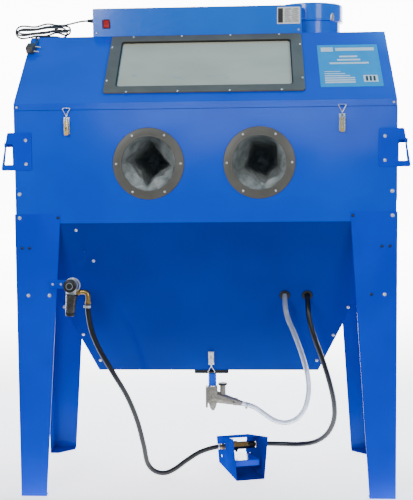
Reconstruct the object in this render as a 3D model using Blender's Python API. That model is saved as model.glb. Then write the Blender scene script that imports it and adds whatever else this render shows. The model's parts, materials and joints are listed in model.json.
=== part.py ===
"""Floor-standing suction sandblast cabinet: sheet-metal body on four legs, hinged hood, two side doors.

Run with: blender --background --python part.py
Every length is in metres. x runs from the centre line to the right, y from the front panel to the rear, and
z up from the floor. One empty, placed so that the whole object is centred, carries all pieces.
"""

import math

import bmesh
import bpy
from mathutils import Matrix, Vector

# Driving dimensions of the body
HALF_WIDTH = 0.610
DEPTH = 0.600
HOPPER_TOP = 0.901
SEAM = 1.265  # where the hood meets the front panel
HOOD_EDGE = 1.286  # where the slope starts
ROOF_START = 0.316  # where the slope ends and the flat roof starts
ROOF = 1.533
SKIRT = 0.021
SHEET = 0.002
GAP = 0.0003
SEAM_GAP = 0.001
FRAME_SHIFT = -0.2695  # puts the middle of the whole object's depth at y = 0

# Hopper
HOPPER_BOTTOM = 0.382
HOPPER_BOTTOM_HALF = 0.379
HOPPER_FRONT_RUN = 0.220
OUTLET = (-0.030, 0.053, 0.240, 0.330)  # the floor's hole: x low, x high, y low, y high

# Legs
LEG_TOP = 0.932
LEG_WIDTH_TOP = 0.149
LEG_WIDTH_FOOT = 0.085
LEG_SHEET = 0.0027

# Side doors
DOOR_BOTTOM = 0.966
DOOR_TOP = 1.490
DOOR_FRONT = 0.030
DOOR_REAR = 0.572
DOOR_SLOPE_INSET = 0.036
DOOR_PAN = 0.0055
DOOR_LAP = 0.020

# Window and gloves
FRAME_HALF = 0.3255
FRAME_TOP, FRAME_BOTTOM = 0.010, 0.352  # distances down the slope
PANE_HALF = 0.288
PANE_TOP, PANE_BOTTOM = 0.044, 0.318
FRAME_THICK = 0.0065
GLOVE_X = 0.177
GLOVE_Z = 1.091
GLOVE_RING_R = 0.115
GLOVE_PORT_R = 0.0865

# Roof fittings
LIGHT_BOX_LEFT, LIGHT_BOX_RIGHT = -0.394, 0.3285
LIGHT_BOX_FRONT, LIGHT_BOX_REAR = 0.318, 0.364
LIGHT_BOX_TOP = 1.629
SWITCH_X, SWITCH_Z = -0.3465, 1.5755
DRUM_CENTRE = (0.363, 0.482)
DRUM_R = 0.110
DRUM_SPLIT = 1.582
CAP_R = 0.119
CAP_TOP = 1.643

# Latches
TOGGLE_X = 0.438
TOGGLE_PIVOT_Z = 1.226
TOGGLE_REACH = 0.0445  # from the pivot to the bail's bar
CATCH_HIGH, CATCH_LOW = 1.195, 1.073
DOOR_LATCH = (0.062, 1.158)  # y and z of the latch pivot

# Air line
REGULATOR = (-0.428, 0.705)  # x and z of the knob
HOSE_R = 0.0085
HOSE_TOP = (-0.3755, -0.026, 0.640)
AIR_PORT_X, ABRASIVE_PORT_X, PORT_Z = 0.334, 0.260, 0.653

# Abrasive outlet
TUBE_X, TUBE_Y, TUBE_R = 0.0135, 0.245, 0.0135
TRAY_LOW = 0.367
TRAY_X = (-0.047, 0.070)
TRAY_FRONT = 0.2235
OUTLET_HINGE = (0.352, 0.3728)  # y and z of the clean-out door's pin
NOZZLE_ROOT = (TUBE_X, TUBE_Y, 0.283)
NOZZLE_TIP = (0.116, TUBE_Y, 0.257)

# Foot pedal
PEDAL_CENTRE = (0.111, 0.310)
PEDAL_TURN = math.radians(16)
PEDAL_HALF_WIDTH = 0.050
PEDAL_HALF_LENGTH = 0.122
VALVE_Z = 0.088
VALVE_REACH = 0.073
TREADLE_PIVOT = (0.062, 0.040)  # along the pedal and up

# Mains lead: its gland on the lamp housing's left end, its folded hank on the roof and its plug on the slope
CORD_R = 0.0033
GLAND = (LIGHT_BOX_LEFT - GAP, 0.345, 1.591)
GLAND_LENGTH = 0.022
HANK_X = (-0.680, -0.474)
HANK_Y = (0.342, 0.398)
HANK_Z = (ROOF + GAP, 1.574)
PLUG_CENTRE = (-0.5955, 0.0915, 0.0138)  # across, down the slope, and out from it
PLUG_TURN = math.radians(15)

FINISHES = {  # colour, roughness, metallic
    "blue_paint": ((0.006, 0.130, 0.600), 0.30, 0.0),
    "dark_blue_paint": ((0.003, 0.045, 0.330), 0.35, 0.0),
    "grey_rubber": ((0.095, 0.095, 0.088), 0.60, 0.0),
    "black_rubber": ((0.012, 0.012, 0.013), 0.50, 0.0),
    "glass": ((0.360, 0.410, 0.380), 0.10, 0.0),
    "zinc": ((0.560, 0.560, 0.540), 0.35, 1.0),
    "brass": ((0.500, 0.340, 0.120), 0.35, 1.0),
    "cast_aluminium": ((0.350, 0.340, 0.310), 0.45, 1.0),
    "black_plastic": ((0.015, 0.016, 0.016), 0.40, 0.0),
    "clear_hose": ((0.560, 0.580, 0.640), 0.20, 0.0),
    "red_plastic": ((0.550, 0.010, 0.008), 0.35, 0.0),
    "paper_filter": ((0.620, 0.560, 0.420), 0.80, 0.0),
    "lamp_glass": ((0.850, 0.870, 0.850), 0.30, 0.0),
}


# ---------------------------------------------------------------- shape tools


def clear_scene():
    for obj in list(bpy.data.objects):
        bpy.data.objects.remove(obj)


def make_materials():
    made = {}
    for name, (colour, roughness, metallic) in FINISHES.items():
        material = bpy.data.materials.new(name)
        material.use_nodes = True
        shader = material.node_tree.nodes["Principled BSDF"]
        shader.inputs["Base Color"].default_value = (*colour, 1.0)
        shader.inputs["Roughness"].default_value = roughness
        shader.inputs["Metallic"].default_value = metallic
        made[name] = material
    return made


def mesh_from(points, faces):
    """A closed mesh from corner points and faces, with its faces turned outwards."""
    mesh = bpy.data.meshes.new("shape")
    mesh.from_pydata([tuple(point) for point in points], [], faces)
    work = bmesh.new()
    work.from_mesh(mesh)
    bmesh.ops.recalc_face_normals(work, faces=work.faces)
    work.to_mesh(mesh)
    work.free()
    return mesh


def loft(low, high):
    """A solid between two outlines with the same number of corners."""
    count = len(low)
    sides = [(i, (i + 1) % count, (i + 1) % count + count, i + count) for i in range(count)]
    return mesh_from([*low, *high], [tuple(range(count)), tuple(range(count, 2 * count)), *sides])


def extrude(axis, outline, low, high):
    """A flat outline swept along x, y or z; its two coordinates are the remaining axes in order."""
    places = {
        "x": lambda p, level: (level, p[0], p[1]),
        "y": lambda p, level: (p[0], level, p[1]),
        "z": lambda p, level: (p[0], p[1], level),
    }
    place = places[axis]
    return loft([place(p, low) for p in outline], [place(p, high) for p in outline])


def box(x, y, z):
    """A block from its (low, high) pair on each axis."""
    return extrude("z", [(x[0], y[0]), (x[1], y[0]), (x[1], y[1]), (x[0], y[1])], *z)


def circle(centre, radius, count=24):
    steps = [2 * math.pi * i / count for i in range(count)]
    return [(centre[0] + radius * math.cos(a), centre[1] + radius * math.sin(a)) for a in steps]


def rod(axis, centre, radius, low, high, count=16):
    """A round bar along one axis, its centre given on the other two."""
    return extrude(axis, circle(centre, radius, count), low, high)


def tapered(start, end, start_r, end_r, count=16):
    """A straight round bar between two points, with its own radius at each end."""
    start, end = Vector(start), Vector(end)
    turn = (end - start).to_track_quat("Z", "Y").to_matrix()
    rings = [
        [point + turn @ Vector((*spot, 0)) for spot in circle((0, 0), radius, count)]
        for point, radius in ((start, start_r), (end, end_r))
    ]
    return loft(*rings)


def lathe(profile, centre, axis="z", count=40):
    """A closed (radius, height) profile turned about a line parallel to z, or to y when axis is "y"."""
    corners = len(profile)
    points, faces = [], []
    for step in range(count):
        angle = 2 * math.pi * step / count
        for radius, height in profile:
            across, along = radius * math.cos(angle), radius * math.sin(angle)
            if axis == "z":
                points.append((centre[0] + across, centre[1] + along, height))
            else:
                points.append((centre[0] + across, height, centre[1] + along))
    for step in range(count):
        here, there = step * corners, (step + 1) % count * corners
        for i in range(corners):
            j = (i + 1) % corners
            faces.append((here + i, here + j, there + j, there + i))
    return mesh_from(points, faces)


def rounded(corners, radius, steps=4):
    """An outline with each corner replaced by an arc of the given radius."""
    result = []
    count = len(corners)
    for i, corner in enumerate(corners):
        here = Vector(corner)
        back = (Vector(corners[i - 1]) - here).normalized()
        ahead = (Vector(corners[(i + 1) % count]) - here).normalized()
        half = back.angle(ahead) / 2
        middle = here + (back + ahead).normalized() * radius / math.sin(half)
        first = here + back * radius / math.tan(half) - middle
        last = here + ahead * radius / math.tan(half) - middle
        for step in range(steps + 1):
            share = step / steps
            spot = (first * (1 - share) + last * share).normalized() * radius + middle
            result.append((spot.x, spot.y))
    return result


def rectangle(x, y):
    return [(x[0], y[0]), (x[1], y[0]), (x[1], y[1]), (x[0], y[1])]


def combine(mesh, tools, operation):
    """The mesh after one Boolean with each tool in turn."""
    scene = bpy.context.scene
    holder = bpy.data.objects.new("holder", mesh)
    scene.collection.objects.link(holder)
    helpers = []
    for tool in tools:
        helper = bpy.data.objects.new("helper", tool)
        scene.collection.objects.link(helper)
        helpers.append(helper)
        modifier = holder.modifiers.new("cut", "BOOLEAN")
        modifier.operation = operation
        modifier.solver = "EXACT"
        modifier.object = helper
    graph = bpy.context.evaluated_depsgraph_get()
    result = bpy.data.meshes.new_from_object(holder.evaluated_get(graph))
    for helper in [holder, *helpers]:
        bpy.data.objects.remove(helper)
    return result


def cut(mesh, *tools):
    return combine(mesh, tools, "DIFFERENCE")


def union(mesh, *tools):
    return combine(mesh, tools, "UNION")


def moved(mesh, matrix):
    """The mesh placed by a matrix, with its faces still pointing out."""
    mesh = mesh.copy()
    mesh.transform(matrix)
    if matrix.determinant() < 0:
        mesh.flip_normals()
    return mesh


def mirrored(mesh):
    return moved(mesh, Matrix.Scale(-1, 4, (1, 0, 0)))


class Assembly:
    """Makes the named objects and hangs them on the frame's empty."""

    def __init__(self):
        self.materials = make_materials()
        self.root = bpy.data.objects.new("cabinet_frame", None)
        self.root.location = (0, FRAME_SHIFT, 0)
        bpy.context.scene.collection.objects.link(self.root)

    def add(self, name, mesh, finish, pivot=(0, 0, 0), smooth=False):
        """One object; a moving piece has its origin on its pivot."""
        mesh.transform(Matrix.Translation(-Vector(pivot)))
        mesh.name = name
        mesh.materials.clear()
        mesh.materials.append(self.materials[finish])
        if smooth:
            mesh.shade_smooth()
            mesh.set_sharp_from_angle(angle=math.radians(40))
        self.hang(bpy.data.objects.new(name, mesh), pivot)

    def add_tube(self, name, route, radius, finish, sides=2):
        """A cord or hose: a smooth curve through the route's points, read at about 2.5 diameters."""
        curve = bpy.data.curves.new(name, "CURVE")
        curve.dimensions = "3D"
        curve.bevel_depth = radius
        curve.bevel_resolution = sides
        curve.use_fill_caps = True
        points = smooth_route(route, radius * 5)
        spline = curve.splines.new("POLY")
        spline.points.add(len(points) - 1)
        for spot, point in zip(spline.points, points):
            spot.co = (*point, 1)
        curve.materials.append(self.materials[finish])
        self.hang(bpy.data.objects.new(name, curve), (0, 0, 0))

    def hang(self, obj, place):
        obj.parent = self.root
        obj.location = place
        bpy.context.scene.collection.objects.link(obj)


def smooth_route(route, spacing):
    """Points on a centripetal Catmull-Rom curve through the route, one for each step of the spacing."""
    route = [Vector(point) for point in route]
    ends = [2 * route[0] - route[1], *route, 2 * route[-1] - route[-2]]
    points = []
    for before, here, there, after in zip(ends, ends[1:], ends[2:], ends[3:]):
        knots = [0.0]
        for a, b in ((before, here), (here, there), (there, after)):
            knots.append(knots[-1] + math.sqrt((b - a).length))
        count = max(1, round((there - here).length / spacing))
        for step in range(count):
            t = knots[1] + (knots[2] - knots[1]) * step / count
            points.append(spline_point((before, here, there, after), knots, t))
    return [*points, route[-1]]


def spline_point(corners, knots, t):
    """The point at knot value t, by repeated blending between neighbouring corners."""
    level = list(corners)
    for width in (1, 2):
        level = [
            blend_between(level[i], level[i + 1], knots[i], knots[i + width], t)
            for i in range(len(level) - 1)
        ]
    return blend_between(level[0], level[1], knots[1], knots[2], t)


def blend_between(a, b, start, end, t):
    share = (t - start) / (end - start)
    return a * (1 - share) + b * share


# ---------------------------------------------------------------- body


def slope_height(y, inset=0.0):
    """Height of the slope above y, or of a line that lies the inset below it."""
    rise = (ROOF - HOOD_EDGE) / ROOF_START
    return HOOD_EDGE + rise * y - inset * math.hypot(1, rise)


def slope_reach(z, inset=0.0):
    """The y where the slope, or a line the inset below it, reaches height z."""
    rise = (ROOF - HOOD_EDGE) / ROOF_START
    return (z - HOOD_EDGE + inset * math.hypot(1, rise)) / rise


def hood_lower_edge(drop):
    """The skirts' lower edge from front to rear, lowered by drop."""
    low = ROOF - SKIRT
    return [
        (slope_reach(SEAM, SKIRT), SEAM - drop),
        (slope_reach(low, SKIRT), low - drop),
        (DEPTH, low - drop),
    ]


def hinge(half_length, moving_low=-0.001):
    """A three-knuckle leaf hinge about the x axis: fixed half towards -y, moving half towards +y, z outwards.

    The axis lies at z = 0.0065 over the two faces. Returns the fixed half with its pin, and the moving half.
    """
    height, knuckle_r, pin_r, bore_r = 0.0065, 0.0055, 0.0025, 0.0028
    third = 2 * half_length / 3
    ends = [-half_length, -half_length + third, half_length - third, half_length]
    fixed = box((-half_length, half_length), (-0.036, -0.0065), (-0.001, 0.003))
    tools = [rod("x", (0, height), pin_r, -half_length, half_length, 12)]
    for low, high in ((ends[0], ends[1]), (ends[2], ends[3])):
        span = (low, high - 0.0004) if low < 0 else (low + 0.0004, high)
        tools.append(box(span, (-0.008, -0.0008), (-0.0009, 0.0029)))
        tools.append(rod("x", (0, height), knuckle_r, *span, 12))
    fixed = union(fixed, *tools)
    moving = box((-half_length, half_length), (0.0065, 0.016), (moving_low, 0.003))
    span = (ends[1], ends[2])
    moving = union(
        moving,
        box(span, (0.0008, 0.008), (moving_low + 0.0001, 0.0029)),
        rod("x", (0, height), knuckle_r, *span, 12),
    )
    moving = cut(moving, rod("x", (0, height), bore_r, -half_length, half_length, 16))
    return fixed, moving


def front_panel(assembly):
    panel = box((-HALF_WIDTH, HALF_WIDTH), (0, SHEET), (HOPPER_TOP + GAP, SEAM - SEAM_GAP))
    holes = [rod("y", (side * GLOVE_X, GLOVE_Z), GLOVE_PORT_R + 0.001, -0.01, 0.01, 40) for side in (-1, 1)]
    assembly.add("front_panel", cut(panel, *holes), "blue_paint")


def door_outline(inset=0.0):
    """The side door's (y, z) outline, which follows the slope."""
    front, rear = DOOR_FRONT + inset, DOOR_REAR - inset
    top = DOOR_TOP - inset
    line = DOOR_SLOPE_INSET + inset
    return [
        (front, DOOR_BOTTOM + inset),
        (rear, DOOR_BOTTOM + inset),
        (rear, top),
        (slope_reach(top, line), top),
        (front, slope_height(front, line)),
    ]


DOOR_HINGES = (1.060, 1.390)
DOOR_AXIS_Y = DOOR_REAR + 0.0075
# Turns hinge x to up, hinge y to the front and hinge z outwards.
SIDE_TURN = Matrix(((0, 0, 1), (0, -1, 0), (1, 0, 0))).to_4x4()


def side_panels(assembly):
    inner = SHEET + GAP
    top = hood_lower_edge(SEAM_GAP)
    outline = [
        (inner, HOPPER_TOP + GAP),
        (DEPTH - inner, HOPPER_TOP + GAP),
        (DEPTH - inner, top[2][1]),
        top[1],
        top[0],
        (inner, SEAM - SEAM_GAP),
    ]
    panel = extrude("x", outline, HALF_WIDTH - SHEET, HALF_WIDTH)
    panel = cut(panel, extrude("x", door_outline(DOOR_LAP), HALF_WIDTH - 0.01, HALF_WIDTH + 0.01))
    fixed, moving = hinge(0.035, moving_low=0.0005)
    leaves = []
    doors = [door_pan()]
    for height in DOOR_HINGES:
        place = Matrix.Translation((HALF_WIDTH, DOOR_AXIS_Y, height)) @ SIDE_TURN
        leaves.append(moved(fixed, place))
        doors.append(moved(moving, place))
    # The fixed leaf would reach past the rear edge, so it is trimmed to the panel.
    beyond = box((HALF_WIDTH - 0.01, HALF_WIDTH + 0.03), (DEPTH - inner, DEPTH + 0.05), (0.9, 1.6))
    panel = cut(union(panel, *leaves), beyond)
    door = union(*doors)
    pivot = (HALF_WIDTH + 0.0065, DOOR_AXIS_Y, DOOR_BOTTOM)
    left_pivot = (-pivot[0], *pivot[1:])
    assembly.add("side_panel_left", mirrored(panel), "blue_paint")
    assembly.add("side_panel_right", panel, "blue_paint")
    assembly.add("side_door_left", mirrored(door), "blue_paint", left_pivot)
    assembly.add("side_door_right", door, "blue_paint", pivot)


def door_pan():
    """The right door: a shallow pan whose rim faces the cabinet."""
    low = HALF_WIDTH + 0.0005
    pan = extrude("x", door_outline(), low, low + DOOR_PAN)
    return cut(pan, extrude("x", door_outline(SHEET), low - 0.01, low + DOOR_PAN - SHEET))


def rear_panel(assembly):
    """The rear sheet with the fixed halves of the hood's three hinges."""
    heights = (HOPPER_TOP + GAP, ROOF - SKIRT - SEAM_GAP)
    panel = box((-HALF_WIDTH, HALF_WIDTH), (DEPTH - SHEET, DEPTH), heights)
    fixed, _ = hinge(0.045)
    halves = [moved(fixed, place) for place in hood_hinge_places()]
    assembly.add("rear_panel", union(panel, *halves), "blue_paint")


def hood_hinge_places():
    """Where the hood's hinges sit: hinge y turned up and hinge z turned to the rear."""
    turn = Matrix(((-1, 0, 0), (0, 0, 1), (0, 1, 0))).to_4x4()
    height = ROOF - SKIRT - SEAM_GAP / 2
    return [Matrix.Translation((x, DEPTH, height)) @ turn for x in (-0.420, 0.0, 0.420)]


def hopper_panel(corners, shift):
    """A slanted sheet: its outer corners, and the shift to its inner face."""
    return loft(corners, [tuple(c + s for c, s in zip(corner, shift)) for corner in corners])


def hopper(assembly):
    top, low = HOPPER_TOP, HOPPER_BOTTOM
    fall = top - low
    wall = SHEET * math.hypot(HOPPER_FRONT_RUN, fall) / fall
    side_run = HALF_WIDTH - HOPPER_BOTTOM_HALF
    side_wall = SHEET * math.hypot(side_run, fall) / fall
    outer = [
        (-HALF_WIDTH, 0, top),
        (HALF_WIDTH, 0, top),
        (HOPPER_BOTTOM_HALF, HOPPER_FRONT_RUN, low),
        (-HOPPER_BOTTOM_HALF, HOPPER_FRONT_RUN, low),
    ]
    front = hopper_panel(outer, (0, wall, 0))
    holes = [
        tapered(port_point(x, -0.02), port_point(x, 0.02), 0.0125, 0.0125, 20)
        for x in (AIR_PORT_X, ABRASIVE_PORT_X)
    ]
    assembly.add("hopper_front", cut(front, *holes), "dark_blue_paint")

    floor_low = low - SHEET - GAP
    rear_low = low - 0.0015
    rear = [(x, DEPTH - y, z if z == top else rear_low) for x, y, z in outer]
    floor = box(
        (-HOPPER_BOTTOM_HALF, HOPPER_BOTTOM_HALF),
        (HOPPER_FRONT_RUN, DEPTH - HOPPER_FRONT_RUN),
        (floor_low, low - GAP),
    )
    x_low, x_high, y_low, y_high = OUTLET
    mouth = box((x_low, x_high), (y_low, y_high), (0.3, 0.5))
    rear_mesh = cut(union(hopper_panel(rear, (0, -wall, 0)), floor, *outlet_lugs()), mouth)
    assembly.add("hopper_rear", rear_mesh, "dark_blue_paint")

    inset = wall + 0.0004
    side = [
        (HALF_WIDTH, inset, top),
        (HALF_WIDTH, DEPTH - inset, top),
        (HOPPER_BOTTOM_HALF, DEPTH - HOPPER_FRONT_RUN - inset, low),
        (HOPPER_BOTTOM_HALF, HOPPER_FRONT_RUN + inset, low),
    ]
    # A ledge folded inwards along the top carries the grate.
    ledge = box((HALF_WIDTH - 0.022, HALF_WIDTH - 0.001), (0.004, DEPTH - 0.004), (top - SHEET, top - 0.0001))
    right = union(hopper_panel(side, (-side_wall, 0, 0)), ledge)
    assembly.add("hopper_left", mirrored(right), "dark_blue_paint")
    assembly.add("hopper_right", right, "dark_blue_paint")


def hopper_front_y(z):
    return (HOPPER_TOP - z) * HOPPER_FRONT_RUN / (HOPPER_TOP - HOPPER_BOTTOM)


def port_point(x, out, z=PORT_Z):
    """A point on a hose port's axis, the given distance outside the hopper's front sheet."""
    fall = HOPPER_TOP - HOPPER_BOTTOM
    length = math.hypot(fall, HOPPER_FRONT_RUN)
    return (x, hopper_front_y(z) - out * fall / length, z - out * HOPPER_FRONT_RUN / length)


def legs(assembly):
    """Four tapered angle-section legs, each with a flat foot."""

    def section(width, level):
        t = LEG_SHEET
        outline = [(0, 0), (width, 0), (width, t), (t, t), (t, width), (0, width)]
        return [(x, y, level) for x, y in outline]

    foot_z = 0.003
    leg = loft(section(LEG_WIDTH_FOOT, foot_z / 2), section(LEG_WIDTH_TOP, LEG_TOP))
    foot = extrude("z", [(0, 0), (LEG_WIDTH_FOOT, 0), (LEG_WIDTH_FOOT, 0.03), (0.03, LEG_WIDTH_FOOT),
                         (0, LEG_WIDTH_FOOT)], 0, foot_z)
    leg = union(leg, foot)
    edge = GAP + LEG_SHEET
    for name, turned, behind in (
        ("leg_front_left", False, False),
        ("leg_front_right", True, False),
        ("leg_rear_left", False, True),
        ("leg_rear_right", True, True),
    ):
        flip = Matrix.Diagonal((-1 if turned else 1, -1 if behind else 1, 1, 1))
        corner = ((1 if turned else -1) * (HALF_WIDTH + edge), DEPTH + edge if behind else -edge, 0)
        assembly.add(name, moved(leg, Matrix.Translation(corner) @ flip), "blue_paint")


def work_grate(assembly):
    """The perforated floor of the chamber, with a corner left open for the hoses."""
    plate = box((-0.6075, 0.6075), (0.003, DEPTH - 0.003), (HOPPER_TOP + GAP, HOPPER_TOP + 0.0035))
    slots = []
    for column in range(12):
        x = -0.550 + column * 0.100
        for y in (0.050, 0.330):
            if not (x > 0.2 and y < 0.1):
                slots.append(box((x - 0.035, x + 0.035), (y, y + 0.220), (0.8, 1.0)))
    slots.append(box((0.210, 0.590), (0.060, 0.270), (0.8, 1.0)))
    assembly.add("work_grate", cut(plate, *slots), "zinc")


# ---------------------------------------------------------------- gloves and front fittings


def gloves(assembly):
    ring = [
        (GLOVE_PORT_R, -0.0063),
        (GLOVE_RING_R, -0.0063),
        (GLOVE_RING_R, -GAP),
        (GLOVE_PORT_R, -GAP),
    ]
    start = SHEET + GAP
    outer = [(0.093, start), (0.086, start + 0.020), (0.074, 0.120)]
    outer += [(0.060, 0.240), (0.045, 0.330), (0.020, 0.365)]
    wall = 0.0025
    inner = [(r - wall, y - (wall if r < 0.05 else 0)) for r, y in outer]
    sleeve = [*outer, (0.004, 0.370), (0.004, 0.3675), *reversed(inner)]
    for name, side in (("left", -1), ("right", 1)):
        centre = (side * GLOVE_X, GLOVE_Z)
        assembly.add(f"glove_ring_{name}", lathe(ring, centre, "y", 48), "grey_rubber", smooth=True)
        assembly.add(f"glove_{name}", lathe(sleeve, centre, "y", 24), "black_rubber", smooth=True)


def door_catches(assembly):
    """The slotted plate on each front corner that a door latch hooks into."""
    low, high = CATCH_LOW, CATCH_HIGH
    outline = rounded([(0.553, low), (0.654, low), (0.632, high), (0.553, high)], 0.006, 3)
    plate = extrude("y", outline, -0.0033, -GAP)
    window = [(0.6155, 1.092), (0.641, 1.092), (0.6335, 1.158), (0.6155, 1.158)]
    plate = cut(plate, extrude("y", window, -0.02, 0.02))
    assembly.add("door_catch_left", mirrored(plate), "blue_paint")
    assembly.add("door_catch_right", plate, "blue_paint")


def door_latches(assembly):
    """A wedge lever on each door: its tip stands in the catch's slot, and it swings down to clear it."""
    y, z = DOOR_LATCH
    face = HALF_WIDTH + 0.0005 + DOOR_PAN + GAP
    arm = extrude("x", rounded([(-0.012, z - 0.009), (y + 0.004, z - 0.012), (y + 0.060, z - 0.008),
                                (y + 0.060, z + 0.006), (y, z + 0.010), (-0.012, z - 0.002)], 0.0015, 2),
                  face + 0.001, face + 0.006)
    boss = rod("x", (y, z), 0.011, face, face + 0.0075, 20)
    tab = box((face + 0.002, face + 0.029), (0.010, 0.014), (z - 0.0095, z + 0.005))
    latch = union(arm, boss, tab)
    pivot = (face, y, z)
    assembly.add("door_latch_left", mirrored(latch), "dark_blue_paint", (-face, y, z))
    assembly.add("door_latch_right", latch, "dark_blue_paint", pivot)


def toggle_parts():
    """A toggle latch about the lever pivot: x across, z towards the keeper, -y outwards from the panel.

    The panel is at y = 0. The lever's web is slotted, so that the bail's stem passes through it as the lever
    swings out. Returns the base, the lever and the wire bail with its cross pin, and the bail's own pivot.
    """
    axis_y = -0.009
    base = box((-0.0095, 0.0095), (-0.0020, -GAP), (-0.038, 0.016))
    ears = [box((x - 0.0007, x + 0.0007), (-0.0125, -0.001), (-0.006, 0.006)) for x in (-0.0078, 0.0078)]
    base = union(base, *ears)
    base = cut(base, rod("x", (axis_y, 0), 0.0019, -0.02, 0.02, 12))
    outline = [(-0.0135, -0.042), (-0.012, -0.042), (-0.012, -0.020), (-0.0052, -0.020)]
    outline += [(-0.0052, 0.0025), (-0.0075, 0.0042), (-0.0120, 0.0042), (-0.0135, 0.0030)]
    lever = extrude("x", outline, -0.0066, 0.0066)
    lever = cut(lever, box((-0.0050, 0.0050), (-0.0118, 0.0), (-0.03, 0.01)))
    lever = cut(lever, box((-0.0023, 0.0023), (-0.02, -0.01), (-0.0290, 0.01)))
    lever = union(lever, *[rod("x", (axis_y, 0), 0.0016, low, high, 10) for low, high in
                           ((-0.0087, -0.0052), (0.0052, 0.0087))])
    bail_y, bail_z = -0.0085, -0.014
    lever = cut(lever, rod("x", (bail_y, bail_z), 0.0019, -0.02, 0.02, 12))
    wire = 0.00125
    top = TOGGLE_REACH
    corners = rounded([(0.0, 0.018), (0.0130, top), (-0.0130, top)], 0.0035, 3)
    bail = wire_loop(corners, bail_y + 0.0025, wire)
    stem = tapered((0, bail_y, bail_z), (0, bail_y + 0.0025, 0.0236), 0.0017, 0.0017, 10)
    pin = rod("x", (bail_y, bail_z), 0.0016, -0.0064, 0.0064, 10)
    nut = rod("z", (0, bail_y + 0.0008), 0.0034, 0.0075, 0.0145, 6)
    return base, lever, union(bail, stem, pin, nut), (0, bail_y, bail_z)


def wire_loop(corners, y, radius, sides=8):
    """A closed wire of the given radius along (x, z) corners in a plane of constant y."""
    count = len(corners)
    points, faces = [], []
    for i, corner in enumerate(corners):
        here = Vector(corner)
        ahead = (Vector(corners[(i + 1) % count]) - Vector(corners[i - 1])).normalized()
        out = Vector((ahead.y, -ahead.x))
        for side in range(sides):
            angle = 2 * math.pi * side / sides
            spot = here + out * radius * math.cos(angle)
            points.append((spot.x, y + radius * math.sin(angle), spot.y))
    for i in range(count):
        here, there = i * sides, (i + 1) % count * sides
        for side in range(sides):
            after = (side + 1) % sides
            faces.append((here + side, here + after, there + after, there + side))
    return mesh_from(points, faces)


def toggle_keeper():
    """The folded hook that a bail's bar sits on, in the toggle's own frame."""
    ledge = TOGGLE_REACH - 0.00125 - 0.0004
    return union(
        box((-0.008, 0.008), (-0.0085, 0.001), (ledge - 0.002, ledge)),
        box((-0.0079, 0.0079), (-0.0094, -0.0080), (ledge - 0.0019, ledge + 0.0006)),
    )


def toggle_places():
    """Side and placement of the two hood latches."""
    sides = (("left", -TOGGLE_X), ("right", TOGGLE_X))
    return [(side, Matrix.Translation((x, 0, TOGGLE_PIVOT_Z))) for side, x in sides]


def outlet_latch_place():
    """The clean-out latch: on the hopper's front sheet, its keeper end pointing down the slope."""
    fall = HOPPER_TOP - HOPPER_BOTTOM
    length = math.hypot(fall, HOPPER_FRONT_RUN)
    down = Vector((0, HOPPER_FRONT_RUN / length, -fall / length))
    inwards = Vector((0, fall / length, HOPPER_FRONT_RUN / length))
    place = Matrix((Vector((-1, 0, 0)), inwards, down)).transposed().to_4x4()
    z = 0.415
    place.translation = (0.0115, hopper_front_y(z), z)
    return place


def toggles(assembly):
    base, lever, bail, bail_pivot = toggle_parts()
    places = [(f"toggle_{{}}_{side}", place) for side, place in toggle_places()]
    places.append(("outlet_latch_{}", outlet_latch_place()))
    for pattern, place in places:
        assembly.add(pattern.format("base"), moved(base, place), "zinc")
        assembly.add(pattern.format("lever"), moved(lever, place), "zinc", place @ Vector((0, -0.009, 0)))
        assembly.add(pattern.format("bail"), moved(bail, place), "zinc", place @ Vector(bail_pivot))


# ---------------------------------------------------------------- hood


def slope_frame():
    """From (across, down the slope, outwards) to the body's axes, starting at the slope's top edge."""
    rise = Vector((0, -ROOF_START, HOOD_EDGE - ROOF)).normalized()
    out = Vector((0, HOOD_EDGE - ROOF, ROOF_START)).normalized()
    place = Matrix((Vector((1, 0, 0)), rise, out)).transposed().to_4x4()
    place.translation = (0, ROOF_START, ROOF)
    return place


def slope_ring(outer, hole, low, high):
    """A solid on the slope from an outline, with a hole through it."""
    ring = cut(extrude("z", outer, low, high), extrude("z", hole, low - 0.01, high + 0.01))
    return moved(ring, slope_frame())


def slope_solid(mesh):
    """A mesh given on the slope, turned to keep its faces pointing out."""
    return moved(mesh, slope_frame())


def hood(assembly):
    """The lid: slope, roof and skirts in one folded shell, with its keepers and hinge leaves."""
    edge = hood_lower_edge(0)
    outline = [(0, SEAM), (0, HOOD_EDGE), (ROOF_START, ROOF), (DEPTH, ROOF), *reversed(edge)]
    inner_top = ROOF - SHEET
    hollow = [
        (SHEET, 1.2),
        (SHEET, slope_height(SHEET, SHEET)),
        (slope_reach(inner_top, SHEET), inner_top),
        (DEPTH - SHEET, inner_top),
        (DEPTH - SHEET, 1.2),
    ]
    shell = cut(
        extrude("x", outline, -HALF_WIDTH, HALF_WIDTH),
        extrude("x", hollow, -HALF_WIDTH + SHEET, HALF_WIDTH - SHEET),
    )
    opening = rectangle((-PANE_HALF - 0.001, PANE_HALF + 0.001), (PANE_TOP - 0.001, PANE_BOTTOM + 0.001))
    pane = rounded(opening, 0.012, 4)
    openings = [
        slope_solid(extrude("z", pane, -0.02, 0.02)),
        box((LIGHT_BOX_LEFT + 0.030, LIGHT_BOX_RIGHT - 0.030), (0.328, 0.356), (1.5, 1.6)),
        rod("z", DRUM_CENTRE, 0.070, 1.5, 1.6, 32),
    ]
    shell = cut(shell, *openings)
    keepers = [moved(toggle_keeper(), place) for _, place in toggle_places()]
    _, leaf = hinge(0.045)
    leaves = [moved(leaf, place) for place in hood_hinge_places()]
    shell = union(shell, *keepers, *leaves)
    pivot = (0, DEPTH + 0.0065, ROOF - SKIRT - SEAM_GAP / 2)
    assembly.add("hood", shell, "blue_paint", pivot)


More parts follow.
